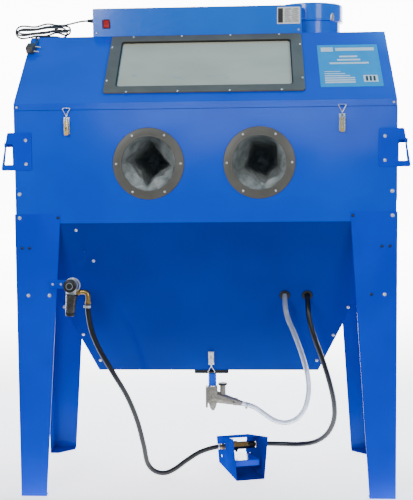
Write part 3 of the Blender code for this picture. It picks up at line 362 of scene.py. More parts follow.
# PVC sheath of the mains lead: dark grey with a soft gloss.
LEAD_SHEATH = Finish(
    "dark_pvc_sheath", "black_plastic", "#34383A", "#282B2D", 30.0, (0.26, 0.36), grain_mm=1.5, grain_depth_mm=0.02
)
PLUG_VINYL = Finish(
    "grey_moulded_plug", "black_plastic", "#4E4B45", "#413E39", 15.0, (0.34, 0.46), grain_mm=1.2, grain_depth_mm=0.03
)
RED_ROCKER = Finish(
    "red_switch_plastic", "red_plastic", "#C8100C", "#B00A08", 12.0, (0.25, 0.34), grain_mm=1.0, grain_depth_mm=0.01
)
RED_BEZEL = Finish(
    "dark_red_bezel", "red_plastic", "#5A0B0B", "#480808", 12.0, (0.30, 0.40), grain_mm=1.0, grain_depth_mm=0.01
)
LABEL_BLUE = Finish(
    "cyan_vinyl_label", "blue_paint", "#00ACF4", "#00A6EE", 60.0, (0.10, 0.14),
    grain_mm=3.0, grain_depth_mm=0.005, specular=0.25,
)
LABEL_WHITE = Finish(
    "white_label_print", "clear_hose", "#EEF6FB", "#E2EEF6", 20.0, (0.35, 0.45), grain_mm=1.0, grain_depth_mm=0.01
)
PLATE_WHITE = Finish(
    "printed_rating_plate", "zinc", "#F1F2EE", "#E6E7E2", 15.0, (0.30, 0.42), metallic=0.1, grain_mm=0.8,
    grain_depth_mm=0.01,
)
PLATE_BLACK = Finish(
    "black_plate_print", "black_plastic", "#22231F", "#1A1B18", 15.0, (0.35, 0.48), grain_mm=0.8, grain_depth_mm=0.01
)
FILTER_PAPER = Finish(
    "pleated_filter_paper", "paper_filter", "#CDBE98", "#BBAA82", 30.0, (0.80, 0.92), grain_mm=0.6, grain_depth_mm=0.05
)
LAMP_GLASS = Finish(
    "frosted_lamp_glass", "lamp_glass", "#F0F3F0", "#E6EAE6", 30.0, (0.25, 0.35), grain_mm=1.0, grain_depth_mm=0.01,
    transmission=0.2,
)
# Sheet glass seen through dust: mostly a grey-green film, with lighter smears.
WINDOW_GLASS = Finish(
    "dusty_sheet_glass", "glass", "#DAD6BE", "#CECAB2", 130.0, (0.10, 0.22), grain_mm=30.0, grain_depth_mm=0.01,
    stretch=(1.6, 1.0, 1.0), speck_tone="#BCC3BB", speck_mm=34.0, speck_edge=0.66, ior=1.52, transmission=0.10,
)


# ---------------------------------------------------------------- surfaces


@dataclass(frozen=True)
class Place:
    """Where a piece drawn in its own axes goes: its origin and where its own x, y and z point."""

    origin: Point
    x: Point = (1.0, 0.0, 0.0)
    y: Point = (0.0, 1.0, 0.0)
    z: Point = (0.0, 0.0, 1.0)

    def put(self, points: Array) -> Array:
        """Returns the points in the frame's coordinates: origin plus each coordinate times its axis."""
        axes = np.array([self.x, self.y, self.z], float)
        return np.asarray(points, float) @ axes + np.array(self.origin) + np.array((0.0, FRONT, 0.0))


BODY = Place((0.0, 0.0, 0.0))


def on_front(x: float, z: float, out: float = 0.0, slant: float = 0.0) -> Place:
    """A place on an upright front face, own y up and own z towards the operator, leaned back by the slant."""
    lean, rise = math.sin(slant), math.cos(slant)
    return Place((x, -out, z), (1, 0, 0), (0, -lean, rise), (0, -rise, -lean))


@dataclass(frozen=True)
class Slope:
    """The hood's sloped sheet, which is measured down from its upper edge."""

    top_y: float = 0.316
    top_z: float = 1.533
    low_z: float = 1.286

    def place(self, across: float = 0.0, down: float = 0.0, out: float = 0.0) -> Place:
        """Returns a place on the slope with own x across, own y down the slope and own z outwards."""
        length = math.hypot(self.top_y, self.top_z - self.low_z)
        run, fall = self.top_y / length, (self.top_z - self.low_z) / length
        origin = (across, self.top_y - run * down - fall * out, self.top_z - fall * down + run * out)
        return Place(origin, (1, 0, 0), (0, -run, -fall), (0, -fall, run))


SLOPE = Slope()


def grid(rows: int, columns: int, loop_rows: bool = False, loop_columns: bool = True) -> list[list[int]]:
    """Quads over a grid of points stored row by row: each joins a point, its next in the row and the two below.

    Args:
        rows: number of rows.
        columns: points in a row.
        loop_rows: joins the last row to the first.
        loop_columns: joins each row's last point to its first.

    Returns:
        Corner numbers of each quad.
    """
    r = np.arange(rows if loop_rows else rows - 1)[:, None]
    c = np.arange(columns if loop_columns else columns - 1)[None, :]
    below, beside = (r + 1) % rows, (c + 1) % columns
    quads = np.stack(
        [r * columns + c, r * columns + beside, below * columns + beside, below * columns + c], axis=-1
    )
    return quads.reshape(-1, 4).tolist()


def turned(profile: Sequence[tuple[float, float]], steps: int = 32, loop: bool = False) -> Surface:
    """A profile of (radius, height) turned about own z: x = r cos a, y = r sin a, z = height.

    Args:
        profile: radius and height along the profile, from pole to pole, or a closed loop.
        steps: points round the axis.
        loop: True where the profile closes on itself.

    Returns:
        Points and quads.
    """
    shape = np.array(profile, float)
    angle = np.arange(steps) * TAU / steps
    radius, height = shape[:, :1], shape[:, 1:]
    points = np.stack(
        [radius * np.cos(angle), radius * np.sin(angle), np.broadcast_to(height, (len(shape), steps))], axis=-1
    )
    return points.reshape(-1, 3), grid(len(shape), steps, loop_rows=loop)


def prism(outline: Sequence[tuple[float, float]] | Array, low: float, high: float) -> Surface:
    """A flat outline in own x and y raised from low to high along own z."""
    flat = np.array(outline, float)
    count = len(flat)
    points = np.concatenate([np.column_stack([flat, np.full(count, level)]) for level in (low, high)])
    caps = [list(range(count)), list(range(count, 2 * count))]
    return points, [*caps, *grid(2, count)]


def rounded_outline(low: tuple[float, float], high: tuple[float, float], radius: float, steps: int = 5) -> Array:
    """A rectangle with corners turned to quarter circles: corner centre plus radius times (cos a, sin a)."""
    angle = np.linspace(0, math.pi / 2, steps + 1)[None, :] + np.arange(4)[:, None] * math.pi / 2
    centre_x = np.array([high[0] - radius, low[0] + radius, low[0] + radius, high[0] - radius])[:, None]
    centre_y = np.array([high[1] - radius, high[1] - radius, low[1] + radius, low[1] + radius])[:, None]
    return np.stack([centre_x + radius * np.cos(angle), centre_y + radius * np.sin(angle)], -1).reshape(-1, 2)


def block(x: tuple[float, float], y: tuple[float, float], z: tuple[float, float], radius: float = 0.0) -> Surface:
    """A block between its low and high corners, its upright edges rounded where a radius is given."""
    if radius:
        return prism(rounded_outline((x[0], y[0]), (x[1], y[1]), radius), *z)
    return prism([(x[0], y[0]), (x[1], y[0]), (x[1], y[1]), (x[0], y[1])], *z)


def smooth_line(route: Sequence[Point] | Array, spacing: float) -> Array:
    """A centripetal Catmull-Rom curve through the route, read at even steps.

    Each stretch blends its four neighbouring points twice by knot distance, where knots grow with the square root
    of the distance between points.

    Args:
        route: the points that the curve passes through.
        spacing: distance between the points read from it.

    Returns:
        The curve's points.
    """
    p = np.array(route, float)
    p = np.concatenate([[2 * p[0] - p[1]], p, [2 * p[-1] - p[-2]]])
    knots = np.concatenate([[0.0], np.cumsum(np.sqrt(np.linalg.norm(np.diff(p, axis=0), axis=1)))])
    share = np.linspace(0, 1, 24, endpoint=False)[None, :, None]
    a, b, c, d = (p[i : len(p) - 3 + i, None, :] for i in range(4))
    ta, tb, tc, td = (knots[i : len(p) - 3 + i, None, None] for i in range(4))
    t = tb + (tc - tb) * share
    ab = a + (b - a) * (t - ta) / (tb - ta)
    bc = b + (c - b) * (t - tb) / (tc - tb)
    cd = c + (d - c) * (t - tc) / (td - tc)
    abc = ab + (bc - ab) * (t - ta) / (tc - ta)
    bcd = bc + (cd - bc) * (t - tb) / (td - tb)
    curve = (abc + (bcd - abc) * (t - tb) / (tc - tb)).reshape(-1, 3)
    return even_line(np.concatenate([curve, [p[-2]]]), spacing)


def even_line(line: Array, spacing: float) -> Array:
    """The line again, read at even steps of its own length."""
    along = np.concatenate([[0.0], np.cumsum(np.linalg.norm(np.diff(line, axis=0), axis=1))])
    wanted = np.linspace(0, along[-1], max(2, round(along[-1] / spacing) + 1))
    return np.stack([np.interp(wanted, along, line[:, k]) for k in range(3)], axis=1)


def eased(line: Array, reach: float) -> Array:
    """Each point becomes the mean of its neighbours, weighed by exp(-(steps apart / reach)^2 / 2)."""
    count = int(3 * reach)
    weight = np.exp(-((np.arange(-count, count + 1) / reach) ** 2) / 2)
    head, foot = 2 * line[0] - line[count:0:-1], 2 * line[-1] - line[-2 : -count - 2 : -1]
    ends = np.concatenate([head, line, foot])
    return np.column_stack([np.convolve(ends[:, k], weight / weight.sum(), "valid") for k in range(3)])


def line_length(line: Array) -> float:
    """The sum of the distances between a line's points."""
    return float(np.linalg.norm(np.diff(line, axis=0), axis=1).sum())


def carried_axes(line: Array) -> tuple[Array, Array]:
    """Two axes square to a line at each of its points, carried along it without twisting.

    Each step takes the last axis, removes its share along the new direction and scales it back to length one.
    """
    ahead = np.gradient(line, axis=0)
    ahead /= np.linalg.norm(ahead, axis=1, keepdims=True)
    side = np.zeros_like(line)
    start = np.eye(3)[np.argmin(np.abs(ahead[0]))]
    for i, direction in enumerate(ahead):
        start = start - direction * (start @ direction)
        start = start / np.linalg.norm(start)
        side[i] = start
    return side, np.cross(ahead, side)


def swept(line: Array, radius: float | Array, steps: int = 14, bore: float = 0.0) -> Surface:
    """A round bar or tube along a line: each ring is the point plus radius times (cos a side + sin a up).

    Args:
        line: the centre line.
        radius: one radius, or one for each point.
        steps: points round each ring.
        bore: the inner radius of a tube, or 0 for a bar closed at both ends.

    Returns:
        Points and quads.
    """
    side, up = carried_axes(line)
    angle = np.arange(steps) * TAU / steps
    ring = np.cos(angle)[None, :, None] * side[:, None, :] + np.sin(angle)[None, :, None] * up[:, None, :]
    size = np.broadcast_to(np.asarray(radius, float), len(line))[:, None, None]
    outer = line[:, None, :] + size * ring
    if bore:
        inner = line[::-1, None, :] + bore * ring[::-1]
        points = np.concatenate([outer, inner])
        return points.reshape(-1, 3), grid(len(points), steps, loop_rows=True)
    ends = [np.repeat(line[i : i + 1, None, :], steps, axis=1) for i in (0, len(line) - 1)]
    points = np.concatenate([ends[0], outer, ends[1]])
    return points.reshape(-1, 3), grid(len(points), steps)


def looped_wire(corners: Array, radius: float, steps: int = 12) -> Surface:
    """A wire closed on itself in own x and y: each ring stands on the line's outward direction and own z."""
    ahead = np.roll(corners, -1, axis=0) - np.roll(corners, 1, axis=0)
    ahead /= np.linalg.norm(ahead, axis=1, keepdims=True)
    out = np.column_stack([ahead[:, 1], -ahead[:, 0], np.zeros(len(corners))])
    angle = np.arange(steps) * TAU / steps
    ring = np.cos(angle)[None, :, None] * out[:, None, :] + np.sin(angle)[None, :, None] * np.array((0, 0, 1.0))
    points = np.column_stack([corners, np.zeros(len(corners))])[:, None, :] + radius * ring
    return points.reshape(-1, 3), grid(len(corners), steps, loop_rows=True)


@dataclass
class Shape:
    """Surfaces gathered into the mesh of one piece."""

    points: list[Array] = field(default_factory=list)
    faces: list[list[int]] = field(default_factory=list)
    count: int = 0

    def add(self, surface: Surface, place: Place = BODY) -> "Shape":
        """Adds a surface at a place and returns the shape."""
        points, faces = surface
        self.points.append(place.put(points))
        self.faces += [[corner + self.count for corner in face] for face in faces]
        self.count += len(points)
        return self


def finished(
    name: str,
    mesh: bpy.types.Mesh,
    finish: Finish,
    body: str,
    stands_for: Sequence[str],
    edge_mm: float,
    sharp: float,
) -> bpy.types.Object:
    """Makes an object of a mesh, closes and turns out its faces, rounds its edges and hangs it on a body.

    Args:
        name: the piece's name.
        mesh: its mesh, in the frame's coordinates.
        finish: its finish.
        body: the body that it moves with.
        stands_for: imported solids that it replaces.
        edge_mm: width of the rounded edges, or 0 for none.
        sharp: the angle in degrees past which an edge stays sharp.

    Returns:
        The piece.
    """
    work = bmesh.new()
    work.from_mesh(mesh)
    bmesh.ops.remove_doubles(work, verts=work.verts, dist=2e-6)
    bmesh.ops.dissolve_degenerate(work, edges=work.edges, dist=1e-7)
    bmesh.ops.recalc_face_normals(work, faces=work.faces)
    work.to_mesh(mesh)
    work.free()
    mesh.name = name
    mesh.materials.clear()
    mesh.materials.append(finish.material())
    mesh.shade_smooth()
    obj = bpy.data.objects.new(name, mesh)
    bpy.context.scene.collection.objects.link(obj)
    if edge_mm:
        bevel = obj.modifiers.new("rounded_edges", "BEVEL")
        bevel.width = edge_mm * MM
        bevel.segments = 2
        bevel.limit_method = "ANGLE"
        bevel.angle_limit = math.radians(sharp)
        bevel.harden_normals = True
    else:
        mesh.set_sharp_from_angle(angle=math.radians(sharp))
    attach(obj, body)
    if stands_for:
        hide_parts(*stands_for)
    log.info("%s: %d points on %s", name, len(mesh.vertices), body)
    return obj


def make_piece(
    name: str,
    shape: Shape,
    finish: Finish,
    body: str = "cabinet",
    stands_for: Sequence[str] = (),
    edge_mm: float = 0.0,
    sharp: float = 35.0,
) -> bpy.types.Object:
    """Makes a piece of a shape, as `finished` does."""
    mesh = bpy.data.meshes.new(name)
    mesh.from_pydata(np.concatenate(shape.points).tolist(), [], shape.faces)
    return finished(name, mesh, finish, body, stands_for, edge_mm, sharp)


def softened(
    node: str, finish: Finish, edge_mm: float = 0.8, name: str = "", sharp: float = 30.0
) -> bpy.types.Object:
    """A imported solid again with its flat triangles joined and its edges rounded, standing for it.

    Args:
        node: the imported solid's name.
        finish: its finish.
        edge_mm: width of the rounded edges.
        name: the piece's name, if not the node's with _sheet after it.
        sharp: the angle in degrees past which an edge is rounded.

    Returns:
        The piece.
    """
    source = frame["nodes"][node]
    mesh = source.data.copy()
    for attribute in [a.name for a in mesh.attributes if a.name == "custom_normal"]:
        mesh.attributes.remove(mesh.attributes[attribute])
    work = bmesh.new()
    work.from_mesh(mesh)
    bmesh.ops.remove_doubles(work, verts=work.verts, dist=2e-6)
    bmesh.ops.dissolve_limit(work, angle_limit=math.radians(0.5), verts=work.verts, edges=work.edges)
    work.to_mesh(mesh)
    work.free()
    return finished(name or node + "_sheet", mesh, finish, source["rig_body"], [node], edge_mm, sharp)


# ---------------------------------------------------------------- fasteners


class Head(Enum):
    """Styles of screw and bolt head, by the profile of the head over its own radius and height."""

    DOME = ((0.0, 0.62), (0.34, 0.62), (0.36, 0.98), (0.62, 0.86), (0.86, 0.55), (1.0, 0.12), (1.0, 0.0), (0.0, 0.0))
    HEXAGON = ((0.0, 1.0), (0.82, 1.0), (1.0, 0.84), (1.0, 0.0), (0.0, 0.0))
    RIVET = ((0.0, 1.0), (0.40, 0.90), (0.72, 0.62), (0.95, 0.18), (1.0, 0.0), (0.0, 0.0))


@dataclass(frozen=True)
class Fastener:
    """A head with its washer, standing on own z = 0."""

    style: Head
    radius: float
    height: float
    washer_radius: float = 0.0
    washer_thick: float = 0.0012

    def surfaces(self) -> list[Surface]:
        """Returns the head, turned in 6 steps where it is a hexagon, and the washer below it."""
        base = self.washer_thick if self.washer_radius else 0.0
        steps = 6 if self.style is Head.HEXAGON else 16
        profile = [(r * self.radius, base + h * self.height) for r, h in self.style.value]
        made = [turned(profile, steps)]
        if self.washer_radius:
            r, t = self.washer_radius, self.washer_thick
            made.append(turned([(0, t), (r * 0.96, t), (r, t * 0.7), (r, 0), (0, 0)], 20))
        return made

    def fit(
        self, name: str, places: Sequence[Place], finish: Finish = None, body: str = "cabinet"
    ) -> bpy.types.Object:
        """Puts one fastener at each place, as one piece, and returns it."""
        shape = Shape()
        for place in places:
            for surface in self.surfaces():
                shape.add(surface, place)
        return make_piece(name, shape, finish or SCREW_ZINC, body, sharp=32.0)


SMALL_SCREW = Fastener(Head.DOME, 0.0042, 0.0026)
SHEET_BOLT = Fastener(Head.DOME, 0.0056, 0.0032, 0.0064)


def framed(outer: Array, inner: Array, low: float, high: float, inner_high: float | None = None) -> Surface:
    """A closed band between two outlines of as many points, from low to high along own z.

    The rows are the outer outline low and high, then the inner one high and low.
    """
    rows = [(outer, low), (outer, high), (inner, high if inner_high is None else inner_high), (inner, low)]
    points = np.concatenate([np.column_stack([flat, np.full(len(flat), level)]) for flat, level in rows])
    return points, grid(4, len(outer), loop_rows=True)


def along(start: Point, end: Point) -> Place:
    """A place at the start with own z towards the end."""
    ahead = np.array(end, float) - np.array(start, float)
    ahead /= np.linalg.norm(ahead)
    side = np.cross(np.eye(3)[np.argmin(np.abs(ahead))], ahead)
    side /= np.linalg.norm(side)
    return Place(start, tuple(side), tuple(np.cross(ahead, side)), tuple(ahead))


def on_side(side: int, y: float, z: float, out: float) -> Place:
    """A place on the cabinet's left (-1) or right (1) face, own z outwards."""
    return Place((side * out, y, z), (0, side, 0), (0, 0, 1), (side, 0, 0))


# ---------------------------------------------------------------- sub-assemblies


@dataclass
class SheetMetal:
    """Every folded or welded sheet, with its rounded edges."""

    edge_mm: float = 1.1
    body: tuple[str, ...] = (
        "front_panel", "side_panel_left", "side_panel_right", "side_door_left", "side_door_right", "rear_panel",
        "hood",
    )
    lamp: tuple[str, ...] = ("light_box", "dust_drum", "drum_cap")
    legs: tuple[str, ...] = (
        "leg_front_left", "leg_front_right", "door_catch_left", "door_catch_right", "treadle",
    )
    shaded: tuple[str, ...] = (
        "hopper_front", "hopper_left", "hopper_right", "hopper_rear", "leg_rear_left", "leg_rear_right",
        "door_latch_left", "door_latch_right",
    )

    def build(self) -> None:
        """Makes each sheet again from its solid, in its paint: paler as painted light on the lamp housing and drum,
        darker as painted shade on the hopper, rear legs and door latches.
        """
        for names, finish in (
            (self.body, BODY_PAINT), (self.lamp, LAMP_PAINT_WITH_PAINTED_LIGHT), (self.legs, LEG_PAINT), (self.shaded, HOPPER_PAINT_AND_SHADE)
        ):
            for name in names:
                softened(name, finish, self.edge_mm if finish is not LEG_PAINT else 0.7)
        softened("work_grate", GRATE_STEEL, 0.0)


@dataclass
class Bolts:
    """Bolts through the panels, hopper and legs. Places are across and up."""

    panel: tuple[tuple[float, float], ...] = ((-0.596, 0.997), (0.596, 0.997))
    leg: tuple[tuple[float, float], ...] = (
        (-0.597, 0.920), (0.597, 0.920), (-0.574, 0.668), (-0.505, 0.668), (0.573, 0.668),
    )
    empty_hole: tuple[tuple[float, float], ...] = (
        (-0.591, 0.822), (-0.567, 0.822), (0.564, 0.822), (0.589, 0.822), (0.532, 0.668), (-0.472, 0.920),
        (0.472, 0.920),
    )
    hopper: tuple[tuple[float, float], ...] = (
        (-0.477, 0.616), (-0.423, 0.513), (-0.372, 0.416), (0.470, 0.610), (0.425, 0.510), (0.372, 0.416),
        (-0.416, 0.879), (-0.367, 0.775),
    )
    skirt: tuple[float, ...] = (-0.599, 0.599)
    hopper_top: float = 0.901
    hopper_lean: float = 0.220 / 0.519

    def on_hopper(self, x: float, z: float, out: float = 0.0) -> Place:
        """A place on the hopper's front sheet."""
        slant = math.atan(self.hopper_lean)
        y = (self.hopper_top - z) * self.hopper_lean - out * math.cos(slant)
        return Place(
            (x, y, z - out * math.sin(slant)),
            (1, 0, 0), (0, -math.sin(slant), math.cos(slant)), (0, -math.cos(slant), -math.sin(slant)),
        )

    def build(self) -> None:
        """Fits the bolts, the rubber plugs in the spare holes and the screws at the skirt's ends."""
        SHEET_BOLT.fit("front_panel_bolts", [on_front(x, z, 0.0) for x, z in self.panel])
        SHEET_BOLT.fit("leg_bolts", [on_front(x, z, 0.003) for x, z in self.leg])
        plug = Fastener(Head.RIVET, 0.0052, 0.0012)
        plug.fit("leg_hole_plugs", [on_front(x, z, 0.003) for x, z in self.empty_hole], MOULDED_RUBBER)
        small = Fastener(Head.DOME, 0.0048, 0.0030, 0.0056)
        small.fit("hopper_bolts", [self.on_hopper(x, z) for x, z in self.hopper])
        bump = Fastener(Head.RIVET, 0.0075, 0.0040)
        bump.fit("hopper_dimple", [self.on_hopper(-0.394, 0.810)], HOPPER_PAINT_AND_SHADE)
        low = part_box("hood")[0].y - FRONT
        SMALL_SCREW.fit("skirt_screws", [on_front(x, 1.2755, 0.0023) for x in self.skirt], body="hood")
        sides = [on_side(s, y, z, 0.613) for s in (-1, 1) for y in (0.060, 0.540) for z in (0.915, 0.700)]
        SHEET_BOLT.fit("leg_side_bolts", sides)
        log.info("hood starts %.4f from the front sheet", low)


@dataclass
class Catches:
    """The door catches' bolts and the door latches' pivots."""

    bolt_x: float = 0.572
    bolt_z: tuple[float, float] = (1.170, 1.094)
    pivot_y: float = 0.062
    pivot_z: float = 1.158
    latch_out: float = 0.6223

    def build(self) -> None:
        """Fits two dome bolts on each catch and one on each latch."""
        dome = Fastener(Head.DOME, 0.0062, 0.0038)
        dome.fit("catch_bolts", [on_front(s * self.bolt_x, z, 0.0035) for s in (-1, 1) for z in self.bolt_z])
        pivot = Fastener(Head.HEXAGON, 0.0060, 0.0046, 0.0090)
        for name, side in (("left", -1), ("right", 1)):
            place = on_side(side, self.pivot_y, self.pivot_z, self.latch_out)
            pivot.fit(f"door_latch_pivot_{name}", [place], ZINC, f"side_door_{name}")
            for height in (1.060, 1.390):
                screws = [on_side(side, 0.5655, height + shift, 0.6190) for shift in (-0.024, 0.024)]
                Fastener(Head.RIVET, 0.0032, 0.0014).fit(
                    f"door_hinge_rivets_{name}_{round(height * 1000)}", screws, ZINC, f"side_door_{name}"
                )


@dataclass
class Gloves:
    """A glove sleeve and its clamped ring at each port.

    Each sleeve hangs collapsed: its section starts round at the cuff and falls into flat sides with soft folds.
    """

    port_x: float = 0.177
    port_z: float = 1.091
    cuff_y: float = 0.0026
    depth: float = 0.366
    wall: float = 0.0025
    screw_radius: float = 0.1035
    rows: int = 90
    columns: int = 160

    def radius(self, share: Array) -> Array:
        """The sleeve's outer radius by its share of the depth."""
        depth = [0, 0.055, 0.32, 0.65, 0.894, 0.985, 1.0]
        size = [0.0926, 0.0856, 0.0736, 0.0596, 0.0446, 0.0190, 0.0]
        return np.interp(share, depth, size)

    def section(self, corners: tuple[float, ...], angle: Array) -> Array:
        """A section with flat sides between corners on a circle: cos(half side) / cos(a - middle of the side)."""
        edges = np.radians(np.array([*corners, corners[0] + 360]))
        place = (angle - edges[0]) % TAU + edges[0]
        side = np.clip(np.searchsorted(edges, place, side="right") - 1, 0, len(corners) - 1)
        half = (edges[side + 1] - edges[side]) / 2
        return np.cos(half) / np.cos(place - edges[side] - half)

    def sleeve(
        self, corners: tuple[float, ...], flatness: float, shelf: float, drift: tuple[float, float], inset: float
    ) -> Array:
        """One skin of the sleeve, as rows of points from the cuff to the tip in own x, y and depth.

        The radius is R(v) times a blend from 1 to the flat-sided section. The blend runs by a smooth share of v
        that starts at once on the lower side, which makes a shelf there, and later on the upper side. Wrinkles
        travel down the sleeve and its middle drifts.
        """
        share = np.linspace(0, 1, self.rows)[:, None] ** 1.5
        angle = (np.arange(self.columns) * TAU / self.columns)[None, :]
        below = (1 - np.sin(angle + shelf)) / 2
        reach = 0.05 + 0.30 * (1 - below) ** 1.3
        start = np.clip((share - 0.012) / reach, 0, 1)
        mix = start * start * (3 - 2 * start)
        flat = flatness * self.section(corners, angle) + (1 - flatness) * 0.93
        folds = 0.045 * np.sin(5 * angle + 16 * share) * np.sin(2 * angle - 7 * share + 1.0)
        creases = 0.022 * np.sin(9 * angle + 40 * share + 2.0 * np.sin(3 * angle)) * below
        radius = self.radius(share) * ((1 - mix) + mix * (flat - 0.10 * below + folds + creases)) - inset
        radius = np.clip(radius, 0, None)
        move = start * np.clip(share / 0.35, 0, 1)
        x = drift[0] * move + radius * np.cos(angle)
        z = drift[1] * move + radius * np.sin(angle)
        return np.stack([x, z, np.broadcast_to(-self.depth * share, x.shape)], axis=-1)

    def build(self) -> None:
        """Builds each sleeve between its two skins, its ring, the ring's bead and the six screws."""
        profile = [
            (0.0866, 0.0), (0.0866, 0.0050), (0.0874, 0.0062), (0.0890, 0.0063), (0.0906, 0.0060), (0.0918, 0.0046),
            (0.1125, 0.0044), (0.1143, 0.0036), (0.1150, 0.0020), (0.1150, 0.0),
        ]
        for name, side, corners, flatness, shelf, drift in (
            ("left", -1, (88.0, 172.0, 266.0, 352.0), 1.0, 0.0, (-0.002, 0.004)),
            ("right", 1, (50.0, 118.0, 200.0, 283.0, 340.0), 0.75, -0.55, (0.015, 0.007)),
        ):
            place = on_front(side * self.port_x, self.port_z, -self.cuff_y)
            outer = self.sleeve(corners, flatness, shelf, drift, 0.0)
            inner = self.sleeve(corners, flatness, shelf, drift, self.wall)
            points = np.concatenate([outer[::-1], inner]).reshape(-1, 3)
            shape = Shape().add((points, grid(2 * self.rows, self.columns)), place)
            make_piece(f"glove_sleeve_{name}", shape, GLOVE_RUBBER, stands_for=[f"glove_{name}"], sharp=80)
            ring = Shape().add(turned(profile, 96, loop=True), on_front(side * self.port_x, self.port_z))
            make_piece(f"glove_port_ring_{name}", ring, RING_RUBBER, stands_for=[f"glove_ring_{name}"], sharp=50)
            angles = np.arange(6) * TAU / 6
            screws = [
                on_front(
                    side * self.port_x + self.screw_radius * math.cos(a),
                    self.port_z + self.screw_radius * math.sin(a),
                    0.0044,
                )
                for a in angles
            ]
            SMALL_SCREW.fit(f"glove_ring_screws_{name}", screws)


@dataclass
class Toggle:
    """One over-centre latch: base, slotted lever and a wire bail on a threaded stem.

    Own axes are across, along towards the keeper, and outwards, from the lever's pivot on the sheet.
    """

    place: Place
    base: str
    lever: str
    bail: str
    lever_finish: Finish
    reach: float = 0.0445
    wire: float = 0.00125
    wire_out: float = 0.006
    pin: tuple[float, float] = (-0.014, 0.0085)

    def build(self) -> None:
        """Softens the base and lever, and draws the bail's wire, stem, nut and cross pin."""
        body_of_lever = frame["nodes"][self.lever]["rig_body"]
        body_of_bail = frame["nodes"][self.bail]["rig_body"]
        softened(self.base, ZINC, 0.35)
        softened(self.lever, self.lever_finish, 0.4)
        corners = np.array([(0.0, 0.018), (0.0130, self.reach), (-0.0130, self.reach)])
        rounded = self.rounded(corners, 0.0042)
        wire_place = self.shifted(self.wire_out)
        wire = Shape().add(looped_wire(rounded, self.wire), wire_place)
        along_pin, out = self.pin
        stem = np.array([(0, along_pin, out), (0, 0.006, out - 0.0014), (0, 0.0236, self.wire_out)])
        wire.add(swept(even_line(stem, 0.002), 0.0016, 10), self.place)
        make_piece(self.bail + "_wire", wire, SCREW_ZINC, body_of_bail, [self.bail])
        nut = Shape()
        nut_place = self.facing_along(0.0075, out - 0.0008)
        nut_side = [(0, 0), (0.0030, 0), (0.0036, 0.0007), (0.0036, 0.0063), (0.0030, 0.0070), (0, 0.0070)]
        nut.add(turned(nut_side, 6), nut_place)
        cross = np.array([(-0.0064, along_pin, out), (0.0064, along_pin, out)])
        nut.add(swept(even_line(cross, 0.003), 0.0016, 10), self.place)
        make_piece(self.bail + "_nut", nut, ZINC, body_of_bail)
        rivets = [self.shifted_to(side * 0.0085, 0.0, 0.009, side) for side in (-1, 1)]
        Fastener(Head.RIVET, 0.0026, 0.0011).fit(self.lever + "_rivets", rivets, ZINC, body_of_lever)

    def rounded(self, corners: Array, radius: float, steps: int = 7) -> Array:
        """Corners turned into quadratic curves: (1-t)^2 a + 2t(1-t) corner + t^2 b, with a and b a radius away."""
        before = np.roll(corners, 1, axis=0) - corners
        after = np.roll(corners, -1, axis=0) - corners
        a = corners + before / np.linalg.norm(before, axis=1, keepdims=True) * radius
        b = corners + after / np.linalg.norm(after, axis=1, keepdims=True) * radius
        t = np.linspace(0, 1, steps)[None, :, None]
        curve = (1 - t) ** 2 * a[:, None] + 2 * t * (1 - t) * corners[:, None] + t**2 * b[:, None]
        return curve.reshape(-1, 2)

    def shifted(self, out: float) -> Place:
        """The latch's place, moved outwards."""
        origin = np.array(self.place.origin) + out * np.array(self.place.z)
        return Place(tuple(origin), self.place.x, self.place.y, self.place.z)

    def facing_along(self, ahead: float, out: float) -> Place:
        """A place whose own z points along the latch."""
        p = self.place
        origin = np.array(p.origin) + ahead * np.array(p.y) + out * np.array(p.z)
        return Place(tuple(origin), p.z, p.x, p.y)

    def shifted_to(self, across: float, ahead: float, out: float, side: int) -> Place:
        """A place whose own z points across the latch, to the given side."""
        p = self.place
        origin = np.array(p.origin) + across * np.array(p.x) + ahead * np.array(p.y) + out * np.array(p.z)
        facing = tuple(side * np.array(p.x))
        return Place(tuple(origin), p.y, tuple(np.cross(facing, p.y)), facing)


